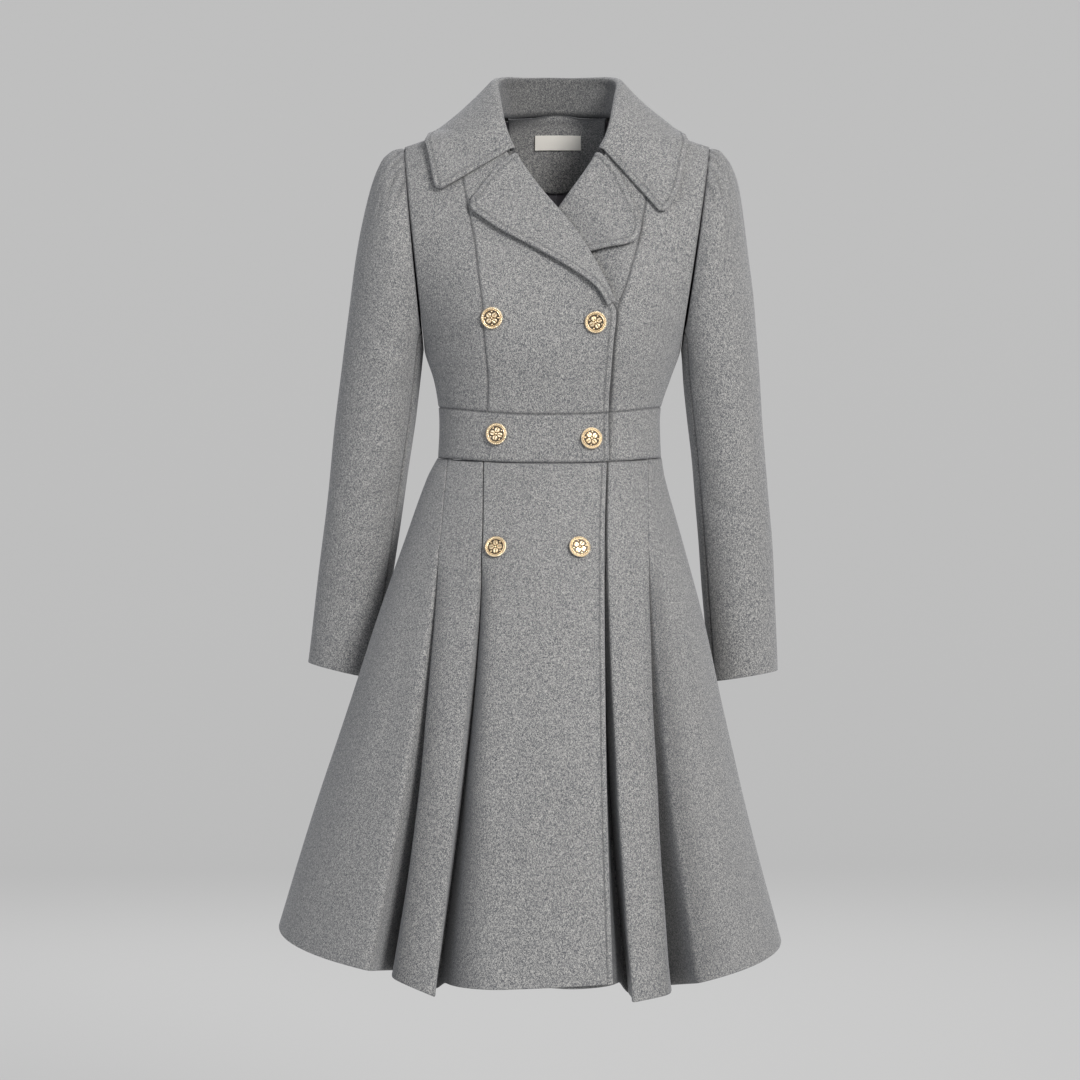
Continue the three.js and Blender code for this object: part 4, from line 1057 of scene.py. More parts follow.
def build_skirt():
    """The whole skirt from the left edge round the back to the right edge, cut at its seams."""
    rings = [
        front_stations("left")[::-1],
        back_stations("left"),
        back_stations("right")[::-1],
        front_stations("right"),
    ]
    share = (evenly(570.0, 5.0) / 570)[:, None]
    spans = [(a, b) for stations in rings for a, b in zip(stations[:-1], stations[1:])]
    lines = []
    seams = [0]
    column = 0
    for start, end in spans:
        hem = skirt_span(start, end, np.array([[1.0]]), np.linspace(0, 1, 30)[None, :])[0]
        length = np.linalg.norm(np.diff(hem, axis=0), axis=-1).sum()
        count = max(int(round(length / CELL)), 4)
        t = np.linspace(0, 1, count + 1)[None, :]
        lines.append(skirt_span(start, end, share, t)[:, :-1])
        column += count
        name = end["name"]
        if (name.endswith("trough") or name in ("side", "middle", "edge")) and seams[-1] != column:
            seams.append(column)
    last = skirt_span(*spans[-1], share, np.array([[1.0]]))
    ring = rounded(np.concatenate([*lines, last], axis=1), SKIRT_ROUNDING)
    whole = framed(ring)
    panels = [f"left_skirt_{part}" for part in SKIRT_PARTS]
    panels += [f"right_skirt_{part}" for part in reversed(SKIRT_PARTS)]
    for i, name in enumerate(panels):
        cut = whole[:, seams[i] : seams[i + 1] + 3]
        if name in ("left_skirt_centre", "right_skirt_centre"):
            free_side = 0 if name == "left_skirt_centre" else -1
            fine = framed(refined(cut[1:-1, 1:-1], free_side == 0))
            fine[:, -1 - free_side] = cut[:, -1 - free_side]
            cut = fine
        grid = trimmed(cut)
        edges = edge_kinds(HEMMED_EDGES, bottom="hem")
        if name == "left_skirt_centre":
            edges["start"] = "free"
        if name == "right_skirt_centre":
            edges["end"] = "free"
        cloth_piece(name, grid, edges, height=creases_of(name, grid), lining_from=LINING_FROM["skirt"])


# Sleeves


def sleeve_point(side, theta, row):
    """A point of the sleeve: theta is 0 on the outer line, 90 at the back, 180 on the inner line."""
    rows = SLEEVE[side]

    def at(column):
        return read_row(rows, row, column)

    angle = np.radians(theta)
    share = (1 + np.cos(angle)) / 2
    point = np.stack(
        np.broadcast_arrays(
            lerp(at("inner_x"), at("outer_x"), share),
            at("centre_y") + at("half_depth") * np.sin(angle),
            lerp(at("inner_z"), at("outer_z"), share),
        ),
        axis=-1,
    )
    gather = CAP_GATHERS
    window = smooth((gather["half_spread"] - np.abs(theta)) / 12)
    fade = np.sin(np.pi * np.clip(row / gather["reach"], 0, 1) ** 0.7) * window
    uneven = 0.75 + 0.35 * np.sin(theta * 0.17 + (1 if side == "left" else 2.4))
    wave = uneven * np.cos((theta / gather["half_spread"]) * np.pi * gather["waves"])
    out_x = point[..., 0] - (at("inner_x") + at("outer_x")) / 2
    out_z = np.broadcast_to(at("outer_z") - at("inner_z"), out_x.shape)
    out = unit(np.stack([out_x, np.zeros_like(out_x), out_z], axis=-1))
    return point + out * (gather["depth"] * fade * wave)[..., None]


def build_sleeves():
    """Upper and under sleeve on each side, with small gathers at the head."""
    front = SLEEVE_SEAMS["front"]
    back = SLEEVE_SEAMS["back"]
    row = 10 * evenly(620.0, 4.6) / 620
    row = np.interp(row, np.linspace(0, 10, 11), sleeve_row_places())
    for side in ("right", "left"):
        parts = (("upper", front, back, 270.0), ("under", back, 360 + front, 90.0))
        for part, start, end, width in parts:
            share = evenly(width, 2.1 if part == "upper" else 3.2) / width
            ghosts = np.concatenate([[-share[1]], share, [2 - share[-2]]])
            theta = lerp(start, end, ghosts)
            if side == "right":
                theta = theta[::-1]
            wrapped = (theta + 180) % 360 - 180
            grid = sleeve_point(side, wrapped[None, :], row[:, None])
            grid = np.concatenate([2 * grid[:1] - grid[1:2], grid, 2 * grid[-1:] - grid[-2:-1]])
            inside = grid[1:-1, 1:-1]
            creases = [(a * 0.95, b, c * 0.95, d, w, h) for a, b, c, d, w, h in SLEEVE_CREASES[side]]
            place = np.broadcast_to(wrapped[None, 1:-1] * 0.95, inside.shape[:2])
            height = crease_height(place, inside[..., 2], creases)
            gathers = 0 * height
            if part == "upper":
                gathers = head_gathers(wrapped[None, 1:-1], distance_to(inside, inside[0]))
            edges = edge_kinds(HEMMED_EDGES, bottom="hem")
            rests_on = [f"{side}_front_side_cloth"]
            # The gathers' troughs sink into the cloth and also get painted shade
            cloth_piece(f"{side}_sleeve_{part}", trimmed(grid), edges, "hung", rests_on,
                        lining_from=LINING_FROM["sleeve"], height=height - GATHER["depth"] * gathers,
                        painted_crease_shade=PAINTED_SHADE_SHARES["gather"] * gathers)


def head_gathers(theta, distance):
    """Strength of the short uneven puckers where the sleeve head is eased into the armhole."""
    turned = np.abs(theta) - GATHER["lean"] * distance + 2.2 * np.sin(theta * 0.11)
    strength = 0.8 + 0.3 * np.sin(theta * 0.23 + 0.8)
    window = smooth((GATHER["spread"] - np.abs(theta)) / 14)
    reach = distance / (GATHER["reach"] * (1 + 0.3 * np.sin(theta * 0.37)))
    trough = (0.5 + 0.5 * np.cos(2 * np.pi * turned / GATHER["turn"])) ** 3
    return strength * window * trough * np.exp(-(reach**2))


def sleeve_row_places():
    """Row numbers at even steps of the sleeve's outer length."""
    rows = SLEEVE["left"]
    x = (rows["inner_x"] + rows["outer_x"] * 2) / 3
    z = (rows["inner_z"] + rows["outer_z"] * 2) / 3
    length = np.concatenate([[0], np.cumsum(np.hypot(np.diff(x), np.diff(z)))])
    return np.interp(np.linspace(0, length[-1], 11), length, np.arange(11))


# Collar and lapels


def rolled_strip(name, fold, toward, edge, leg_end, leaf_at, corner, near_ends, rests_on, roll):
    """A strip with a rolled fold: the inner leg, the half round of the roll, then the leaf."""
    along = unit(np.gradient(fold, axis=0))
    across = toward - fold
    across = unit(across - along * (across * along).sum(-1, keepdims=True))
    out = unit(np.cross(along, across))
    roll = roll[:, None]
    centre = fold + across * roll

    def rolled(degrees):
        angle = np.radians(degrees)
        return centre - across * roll * np.cos(angle) + out * roll * np.sin(angle)

    inner_start = rolled(-90)
    if leg_end is None:
        leg_end = inner_start + across * LAPEL_INNER
    start = rolled(90)
    near = 1 - np.clip(near_ends / corner, 0, 1)
    cut = 1 - np.sqrt(1 - near**2)
    reach = 1 - corner * cut / np.linalg.norm(edge - start, axis=-1)
    columns = [lerp(leg_end, inner_start, t) for t in np.linspace(0, 1, 7)[:-1]]
    columns += [rolled(angle) for angle in np.linspace(-90, 90, 13)]
    length = float(np.linalg.norm(edge - start, axis=-1).max())
    columns += [leaf_at(start, reach * t, out, along) for t in evenly(length, 3.6)[2:] / length]
    grid = framed(np.stack(columns, axis=1))
    edges = edge_kinds(ROLLED_EDGES, "free", start="hidden")
    return cloth_piece(name, grid, edges, "folded", rests_on)


def run_length(points):
    """Distance along a line of points from its first one."""
    steps = np.linalg.norm(np.diff(points, axis=0), axis=-1)
    return np.concatenate([[0], np.cumsum(steps)])


def build_lapels():
    """Lapels turned back along their roll lines, a little way off the fronts they lie on."""
    for side in ("right", "left"):
        rows = LAPEL[side]
        place = 5 * evenly(175.0, 3.4) / 175
        roll = lerp(END_ROLL, ROLL, smooth(place / 0.8))
        off = roll - CLOTH / 2

        def over(x, z, gap):
            points = on_front(x, z, gap)
            if side == "left":
                points[..., 1] += left_inset(x, z)
            return points

        columns = {column: read_row(rows, place, column) for column in rows}
        fold = over(columns["fold_x"], columns["fold_z"], -CLOTH / 2)
        edge = over(columns["edge_x"], columns["edge_z"], off)
        toward = over(columns["edge_x"], columns["edge_z"], -CLOTH / 2)
        bow = NOTCH_OUT[side] * np.clip(1 - 2 * (5 - place) / 4, 0, 1)
        from_break = run_length(edge)
        from_top = from_break[-1] - from_break
        order = slice(None, None, -1) if side == "left" else slice(None)

        def leaf_at(start, share, _out, along, edge=edge[order], bow=bow[order], off=off[order]):
            turned = np.minimum(share / NOTCH_AT, (1 - share) / (1 - NOTCH_AT))
            bend = bow * turned * np.sign(along[:, 2])
            x = lerp(start[:, 0], edge[:, 0], share) + bend * along[:, 0]
            z = lerp(start[:, 2], edge[:, 2], share) + bend * along[:, 2]
            return over(x, z, off + LEAF_LIFT["lapel"] * share**2)

        rolled_strip(f"{side}_lapel", fold[order], toward[order], edge[order], None, leaf_at,
                     LAPEL_CORNER, from_top[order], [f"{side}_front_centre_cloth"], roll[order])


def neck_seam(row, last):
    """The collar's neck seam, just inside the neckline of the bodice."""
    sign = np.where(row > last / 2, 1, -1)
    station = np.minimum(row, last - row)
    around = sign * read(NECK_SEAM, "station", station, "around")
    point = body_point(around, read(NECK_SEAM, "station", station, "z"))
    point[..., 0] *= NECK_SEAM_INSIDE
    point[..., 1] = lerp(SIDE_Y, point[..., 1], NECK_SEAM_INSIDE)
    return point


def build_collar():
    """Its stand rises from the neck seam, and the leaf falls over the shoulders."""
    last = 14
    row = evenly(430.0, 3.6) / 430 * last
    columns = {column: read_row(COLLAR, row, column) for column in COLLAR}
    fold = np.stack([columns["fold_x"], columns["fold_y"], columns["fold_z"]], axis=-1)
    edge = np.stack([columns["edge_x"], columns["edge_y"], columns["edge_z"]], axis=-1)
    length = run_length(edge)

    def leaf_at(start, share, out, _along):
        share = share[:, None]
        point = lerp(start, edge, share) + out * 4 * columns["sag"][:, None] * share * (1 - share)
        lifted = kept_off(point, COLLAR_OFF)
        return lifted + unit(lifted - kept_off(point, 0.5)) * (front_lift * share**2)

    near_ends = np.minimum(length, length[-1] - length)
    front_lift = (LEAF_LIFT["collar"] * smooth(1 - near_ends / 120))[:, None]
    obj = rolled_strip("collar", fold, edge, edge, neck_seam(row, last), leaf_at, COLLAR_CORNER, near_ends,
                       ["right_back_side_cloth", "left_back_side_cloth"], np.full(len(row), ROLL))
    shade_stand(obj)


def shade_stand(obj):
    """The stand inside the collar takes the wool at half brightness up to the top of the roll: a darker
    undercollar cloth, with painted shade inside the neck.
    """
    rows, columns = SURFACES["collar"].shape[:2]
    obj.data.materials.append(once("Undercollar Wool", wool))
    indices = np.zeros(len(obj.data.polygons), np.int32)
    obj.data.polygons.foreach_get("material_index", indices)
    front = indices[: (rows - 1) * (columns - 1)].reshape(rows - 1, columns - 1)
    front[:, :STAND_COLUMNS] = len(obj.data.materials) - 1
    obj.data.polygons.foreach_set("material_index", indices)


def build_neck():
    """Facing inside the back neck, and the bare woven label on it."""

    def on_back(x, z):
        return body_point(around_at(x, z, True), z)

    def facing_point(down, across):
        x = lerp(NECK_FACING["half_width"], -NECK_FACING["half_width"], across)
        top = row_z(np.zeros_like(x), around_at(x, 0.0, True)) + 2
        bow = 1 - (x / NECK_FACING["half_width"]) ** 2
        bottom = lerp(NECK_FACING["side_z"], NECK_FACING["middle_z"], bow)
        return on_back(x, lerp(top, bottom, down))

    def label_point(up, across):
        x = NECK_LABEL["x"] + (0.5 - across) * NECK_LABEL["width"]
        return on_back(x, NECK_LABEL["z"] + (0.5 - up) * NECK_LABEL["height"])

    inside = CLOTH + NECK_FACING["gap"]
    facing = piece_grid(evenly(80.0) / 80, evenly(120.0) / 120, facing_point)
    moved = facing[1:-1, 1:-1] - normals(facing) * inside
    # All the facing's edges are hidden, and get painted shade along them
    cloth_piece("back_neck_facing", framed(moved), edge_kinds(WAIST_EDGES, "hidden"), "hung",
                ["right_back_centre_cloth", "left_back_centre_cloth"], thickness=FACING)
    label = piece_grid(evenly(16.5, 1.5) / 16.5, evenly(55.0, 2.5) / 55, label_point)
    behind = inside + FACING + NECK_LABEL["gap"]
    moved = framed(label[1:-1, 1:-1] - normals(label) * behind)
    outer = moved[1:-1, 1:-1]
    inner = outer - normals(moved) * LABEL
    SURFACES["neck_label"] = inner
    obj = shell("neck_label_cloth", outer, inner, [once("Woven Label", woven)])
    finish_piece(obj, "neck_label")


# Buttons


def button_height(radius, angle, relief):
    """Height of the button's face: a roped rim, a smooth band and a quatrefoil in a sunk field."""
    rope = 0.5 * np.cos(ROPE_TURNS * angle + 2.2 * (radius - 11))
    rim = np.exp(-(((radius - 11) / 0.75) ** 2)) * (0.75 + rope)
    band = 0.6 * np.exp(-(((radius - 9.3) / 0.4) ** 2))
    turned = angle % (np.pi / 2) - np.pi / 4
    x = radius * np.cos(turned)
    y = radius * np.sin(turned)
    petal = smooth((3.2 - np.hypot(x - 4.6, y)) / 0.9)
    vein = smooth((0.75 - np.abs(y)) / 0.4) * smooth((x - 2.4) / 0.6)
    quarter = (angle + np.pi / 4) % (np.pi / 2) - np.pi / 4
    bead = smooth((1.05 - np.hypot(radius * np.cos(quarter) - 7.2, radius * np.sin(quarter))) / 0.5)
    boss = smooth((1.3 - radius) / 0.6)
    field = np.clip(petal - 0.9 * vein + bead + boss, 0, 1) * 1.2 * relief
    return rim, band, field


def button_seat(node):
    """Where a button sits and which way it faces, from its solid in the frame."""
    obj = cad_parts[node]
    points = np.array([obj.matrix_world @ v.co for v in obj.data.vertices]) / MM
    middle = points.mean(axis=0)
    axis = np.linalg.svd(points - middle, full_matrices=False)[2][2]
    axis = axis if axis[1] < 0 else -axis
    height = (points - middle) @ axis
    return middle + axis * height.min(), axis


def build_button(name, relief, turn):
    node = f"button_{name}"
    seat, axis = button_seat(node)
    side = unit(np.cross(axis, (0, 0, 1)))
    up = np.cross(side, axis)
    radii = np.concatenate([np.linspace(0.3, 8.7, 34), np.linspace(8.95, 11.75, 22)])
    angles = np.linspace(0, 2 * np.pi, 160, endpoint=False) + turn
    radius, angle = np.meshgrid(radii, angles, indexing="ij")
    rim, band, field = button_height(radius, angle - turn, relief)
    dish = 3.9 + 0.35 * smooth((FIELD_RADIUS - radius) / FIELD_RADIUS)
    height = dish + rim + band + np.where(radius < FIELD_RADIUS, field, 0)
    edge = np.array(BUTTON_EDGE)
    back_radius = edge[:, :1] + 0 * angle[:1]
    back_height = edge[:, 1:] + 0 * angle[:1]
    back_radius[:2] += 0.14 * np.cos(ROPE_TURNS * (angles - turn))
    radius = np.concatenate([radius, back_radius])
    height = np.concatenate([height, back_height])
    angle = np.broadcast_to(angles, radius.shape)
    offset = np.cos(angle)[..., None] * side + np.sin(angle)[..., None] * up
    points = (seat + offset * radius[..., None] + axis * height[..., None]).reshape(-1, 3)
    rings, count = radius.shape
    number = np.arange(rings * count).reshape(rings, count)
    following = np.roll(number, -1, axis=1)
    quads = np.stack([number[:-1], number[1:], following[1:], following[:-1]], axis=-1).reshape(-1, 4)
    top = len(points)
    face_middle = seat + axis * (4.25 + relief * 1.5)
    points = np.concatenate([points, [face_middle, seat + axis * 0.2]])
    fan = [(top, a, b) for a, b in zip(number[0], following[0])]
    base = [(top + 1, b, a) for a, b in zip(number[-1], following[-1])]
    obj = new_object(f"{node}_gilt", points, quads.tolist() + fan + base, [once("Antiqued Gilt", antiqued)])
    raised = np.concatenate([(rim + band + np.where(radii[:, None] < FIELD_RADIUS, field, 0)).ravel(),
                             np.full(len(edge) * count, 0.45), [1.2, 0.3]])
    attribute = obj.data.attributes.new("raised", "FLOAT", "POINT")
    attribute.data.foreach_set("value", raised)
    finish_piece(obj, node)


# Stitches


def stitch_tree():
    """Geometry nodes that lay a stitch on each step of the lines they are given."""
    tree = bpy.data.node_groups.new("Running Stitch", "GeometryNodeTree")
    face = tree.interface
    face.new_socket("Lines", in_out="INPUT", socket_type="NodeSocketGeometry")
    for label in ("Pitch", "Length", "Thickness"):
        socket = face.new_socket(label, in_out="INPUT", socket_type="NodeSocketFloat")
        socket.subtype = "DISTANCE"
    face.new_socket("Thread", in_out="INPUT", socket_type="NodeSocketMaterial")
    face.new_socket("Stitches", in_out="OUTPUT", socket_type="NodeSocketGeometry")
    made = {}
    kinds = {
        "given": "NodeGroupInput",
        "line": "GeometryNodeMeshToCurve",
        "steps": "GeometryNodeResampleCurve",
        "ball": "GeometryNodeMeshUVSphere",
        "size": "ShaderNodeCombineXYZ",
        "half_length": "ShaderNodeMath",
        "half_thickness": "ShaderNodeMath",
        "shaped": "GeometryNodeTransform",
        "tangent": "GeometryNodeInputTangent",
        "turned": "FunctionNodeAlignRotationToVector",
        "placed": "GeometryNodeInstanceOnPoints",
        "real": "GeometryNodeRealizeInstances",
        "thread": "GeometryNodeSetMaterial",
        "result": "NodeGroupOutput",
    }
    for number, (key, kind) in enumerate(kinds.items()):
        made[key] = tree.nodes.new(kind)
        made[key].location = (180 * number, 0)
    made["steps"].mode = "LENGTH"
    made["turned"].axis = "X"
    made["ball"].inputs["Segments"].default_value = 6
    made["ball"].inputs["Rings"].default_value = 5
    made["ball"].inputs["Radius"].default_value = 1.0
    for key in ("half_length", "half_thickness"):
        made[key].operation = "MULTIPLY"
        made[key].inputs[1].default_value = 0.5
    links = (
        ("given", "Lines", "line", "Mesh"),
        ("line", "Curve", "steps", "Curve"),
        ("given", "Pitch", "steps", "Length"),
        ("given", "Length", "half_length", 0),
        ("given", "Thickness", "half_thickness", 0),
        ("half_length", 0, "size", "X"),
        ("half_thickness", 0, "size", "Y"),
        ("half_thickness", 0, "size", "Z"),
        ("ball", "Mesh", "shaped", "Geometry"),
        ("size", "Vector", "shaped", "Scale"),
        ("tangent", "Tangent", "turned", "Vector"),
        ("steps", "Curve", "placed", "Points"),
        ("shaped", "Geometry", "placed", "Instance"),
        ("turned", "Rotation", "placed", "Rotation"),
        ("placed", "Instances", "real", "Geometry"),
        ("real", "Geometry", "thread", "Geometry"),
        ("given", "Thread", "thread", "Material"),
        ("thread", "Geometry", "result", "Stitches"),
    )
    for source, output, target, socket in links:
        tree.links.new(made[source].outputs[output], made[target].inputs[socket])
    return tree


def line_object(name, lines):
    """A mesh of edges only, one run for each line of points in millimetres."""
    points = []
    edges = []
    for line in lines:
        first = len(points)
        points.extend((np.asarray(line) * MM).tolist())
        edges.extend((i, i + 1) for i in range(first, len(points) - 1))
    mesh = bpy.data.meshes.new(name)
    mesh.from_pydata(points, edges, [])
    obj = bpy.data.objects.new(name, mesh)
    bpy.context.scene.collection.objects.link(obj)
    return obj


def stitched(name, lines, sizes, material):
    """Stitches along lines, made by the stitch tree and kept as one plain mesh."""
    source = line_object(f"{name}_lines", lines)
    tree = bpy.data.node_groups.get("Running Stitch") or stitch_tree()
    modifier = source.modifiers.new("Stitches", "NODES")
    modifier.node_group = tree
    given = dict(zip(("Pitch", "Length", "Thickness"), sizes))
    given["Thread"] = material
    for item in tree.interface.items_tree:
        if item.item_type == "SOCKET" and item.in_out == "INPUT" and item.name in given:
            modifier[item.identifier] = given[item.name]
    evaluated = source.evaluated_get(bpy.context.evaluated_depsgraph_get())
    mesh = bpy.data.meshes.new_from_object(evaluated)
    if not mesh.polygons:
        raise RuntimeError(f"{name}: the stitch lines gave no stitches")
    mesh.polygons.foreach_set("use_smooth", np.ones(len(mesh.polygons), bool))
    obj = bpy.data.objects.new(name, mesh)
    bpy.context.scene.collection.objects.link(obj)
    source.modifiers.remove(modifier)
    bpy.data.objects.remove(source)
    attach(obj, "root")
    return obj


def line_beside(surface, place, inset, skip=(0.0, 0.0)):
    """Line on a surface at a distance inside one of its edges."""
    grid = surface if place in ("start", "end") else surface.transpose(1, 0, 2)
    if place in ("end", "bottom"):
        grid = grid[:, ::-1]
    distance = distance_to(grid, grid[:, 0])
    line = []
    for points, away in zip(grid, distance):
        after = int(np.argmax(away >= inset))
        if after == 0:
            continue
        t = (inset - away[after - 1]) / max(away[after] - away[after - 1], 1e-9)
        line.append(lerp(points[after - 1], points[after], t))
    line = np.array(line)
    along = run_length(line)
    kept = (along >= skip[0]) & (along <= along[-1] - skip[1])
    return line[kept]


def buttonhole(panel, x, z, length):
    """The worked end of a buttonhole that shows beside its button."""
    surface = SURFACES[panel]
    middle = surface[:, surface.shape[1] // 2]
    row = surface[int(np.argmin(np.abs(middle[:, 2] - z)))]
    places = np.linspace(x, x - length, 8)
    order = np.argsort(row[:, 0])
    line = [np.interp(places, row[order, 0], row[order, axis]) for axis in range(3)]
    return np.stack(line, axis=-1)


def build_stitches(sizes):
    """Topstitching of the front edge, the collar and the lapels, buttonhole ends and label stitches."""
    thread = once("Grey Thread", wool)
    at = WELT["stitch_at"]
    front = [
        line_beside(SURFACES["right_front_centre"], "end", at, (150, 0)),
        line_beside(SURFACES["waistband_right_front"], "end", at),
        line_beside(SURFACES["right_skirt_centre"], "end", at, (0, 3)),
    ]
    stitched("front_edge_stitches", front, sizes, thread)
    turned = []
    for name in ("collar", "right_lapel", "left_lapel"):
        turned.append(line_beside(SURFACES[name], "end", at, (at, at)))
    for place in ("top", "bottom"):
        turned.append(line_beside(SURFACES["collar"], place, at, (60, at)))
    stitched("collar_and_lapel_stitches", turned, sizes, thread)
    holes = [buttonhole(*entry) for entry in BUTTONHOLES]
    stitched("buttonhole_stitches", holes, HOLE_STITCH, once("Buttonhole Thread", wool))
    label = SURFACES["neck_label"]
    ends = [label[1:-1, 2], label[1:-1, -3]]
    stitched("label_stitches", ends, LABEL_STITCH, once("Cream Thread", wool))


# Materials


def node(tree, kind, **values):
    made = tree.nodes.new(kind)
    for key, value in values.items():
        if key in made.inputs:
            made.inputs[key].default_value = value
        else:
            setattr(made, key, value)
    return made


def colour(value):
    return (*value[:3], 1.0)


def fleck_group():
    """Shade and height of fine mixed fibres, from a place in metres."""
    name = "Mixed Wool Fibres"
    if name in bpy.data.node_groups:
        return bpy.data.node_groups[name]
    tree = bpy.data.node_groups.new(name, "ShaderNodeTree")
    face = tree.interface
    face.new_socket("Place", in_out="INPUT", socket_type="NodeSocketVector")
    face.new_socket("Fleck Size", in_out="INPUT", socket_type="NodeSocketFloat").default_value = 0.001
    for label in ("Shade", "Height"):
        face.new_socket(label, in_out="OUTPUT", socket_type="NodeSocketFloat")
    given = node(tree, "NodeGroupInput")
    result = node(tree, "NodeGroupOutput")
    scale = node(tree, "ShaderNodeMath", operation="DIVIDE")
    scale.inputs[0].default_value = 1.0
    tree.links.new(given.outputs["Fleck Size"], scale.inputs[1])
    shades = []
    layers = (((1, 1, 0.75), 2.0, 0), ((1.7, 1.7, 0.5), 1.0, 7), ((0.42, 0.42, 0.3), 2.0, 13))
    for stretch, detail, offset in layers:
        placed = node(tree, "ShaderNodeMapping")
        placed.inputs["Scale"].default_value = stretch
        placed.inputs["Location"].default_value = (offset, offset * 2, 0)
        noise = node(tree, "ShaderNodeTexNoise", Detail=detail, Roughness=0.6)
        tree.links.new(given.outputs["Place"], placed.inputs["Vector"])
        tree.links.new(placed.outputs["Vector"], noise.inputs["Vector"])
        tree.links.new(scale.outputs[0], noise.inputs["Scale"])
        shades.append(noise.outputs["Fac"])
    fine = mixed(tree, 0.4, shades[0], shades[1])
    tree.links.new(mixed(tree, 0.18, fine, shades[2]), result.inputs["Shade"])
    tree.links.new(fine, result.inputs["Height"])
    return tree


def mixed(tree, share, first, second):
    """A value between two others."""
    made = node(tree, "ShaderNodeMix", data_type="FLOAT")
    made.inputs["Factor"].default_value = share
    tree.links.new(first, made.inputs["A"])
    tree.links.new(second, made.inputs["B"])
    return made.outputs["Result"]


def new_material(name):
    material = bpy.data.materials.new(name)
    material.use_nodes = True
    tree = material.node_tree
    shader = tree.nodes["Principled BSDF"]
    place = node(tree, "ShaderNodeTexCoord").outputs["Object"]
    return material, tree, shader, place


def bump(tree, shader, height, distance):
    made = node(tree, "ShaderNodeBump", Distance=distance, Strength=1.0)
    tree.links.new(height, made.inputs["Height"])
    tree.links.new(made.outputs["Normal"], shader.inputs["Normal"])


def ramp(tree, fac, *stops):
    made = node(tree, "ShaderNodeValToRGB")
    made.color_ramp.elements.remove(made.color_ramp.elements[1])
    for number, (position, value) in enumerate(stops):
        element = made.color_ramp.elements[0] if number == 0 else made.color_ramp.elements.new(position)
        element.position = position
        element.color = colour(value)
    tree.links.new(fac, made.inputs["Fac"])
    return made.outputs["Color"]


def wool(name, look):
    """Brushed cloth or thread of mixed light and dark fibres, with painted shade where the piece carries
    it.
    """
    dark, middle, light = ([c * share for c in getattr(look, shade)] for shade, share in WOOLS[name])
    fibre_sizes = THREAD_FIBRES if name.endswith("Thread") else WOOL_FIBRES
    material, tree, shader, place = new_material(name)
    fibres = node(tree, "ShaderNodeGroup", node_tree=fleck_group())
    fibres.inputs["Fleck Size"].default_value = fibre_sizes["fleck"]
    tree.links.new(place, fibres.inputs["Place"])
    base = ramp(tree, fibres.outputs["Shade"], (0.42, dark), (0.5, middle), (0.59, light))
    cloudy = node(tree, "ShaderNodeTexNoise", Scale=9.0, Detail=2.0)
    tree.links.new(place, cloudy.inputs["Vector"])
    shade = node(tree, "ShaderNodeMapRange")
    shade.inputs["To Min"].default_value = 0.93
    shade.inputs["To Max"].default_value = 1.07
    tree.links.new(cloudy.outputs["Fac"], shade.inputs["Value"])
    clouded = node(tree, "ShaderNodeMix", data_type="RGBA", blend_type="MULTIPLY")
    clouded.inputs["Factor"].default_value = 1.0
    tree.links.new(base, clouded.inputs["A"])
    tree.links.new(shade.outputs["Result"], clouded.inputs["B"])
    # Painted shade: the colour is mixed towards a third of the dark fibres' colour by the points' painted
    # shade
    pressed = node(tree, "ShaderNodeAttribute", attribute_name="pressed")
    darker = node(tree, "ShaderNodeMix", data_type="RGBA")
    darker.inputs["B"].default_value = colour([c * 0.3 for c in dark])
    tree.links.new(pressed.outputs["Fac"], darker.inputs["Factor"])
    tree.links.new(clouded.outputs["Result"], darker.inputs["A"])
    tree.links.new(darker.outputs["Result"], shader.inputs["Base Color"])
    shader.inputs["Roughness"].default_value = 0.92
    shader.inputs["Specular IOR Level"].default_value = 0.2
    shader.inputs["Sheen Weight"].default_value = 0.25
    shader.inputs["Sheen Roughness"].default_value = 0.6
    shader.inputs["Sheen Tint"].default_value = (0.85, 0.87, 0.92, 1)
    bump(tree, shader, fibres.outputs["Height"], fibre_sizes["relief"])
    return material


def once(name, make):
    """The material of a name, made when it is first asked for."""
    return bpy.data.materials.get(name) or make(name, bpy.context.scene.coat_look)


def woven(name, look):
    """Smooth cloth with fine ribs: the satin lining, or the bare ribbon of the label."""
    weave = WEAVES[name]
    shade = getattr(look, weave["shade"])
    material, tree, shader, place = new_material(name)
    ribs = node(tree, "ShaderNodeTexWave", Scale=weave["scale"], Distortion=weave["distortion"],
                bands_direction=weave["direction"])
    tree.links.new(place, ribs.inputs["Vector"])
    low, share = weave["low"]
    base = ramp(tree, ribs.outputs["Fac"], (low, [c * share for c in shade]), (weave["high"], shade))
    tree.links.new(base, shader.inputs["Base Color"])
    shader.inputs["Roughness"].default_value = weave["roughness"]
    bump(tree, shader, ribs.outputs["Fac"], weave["relief"])
    return material


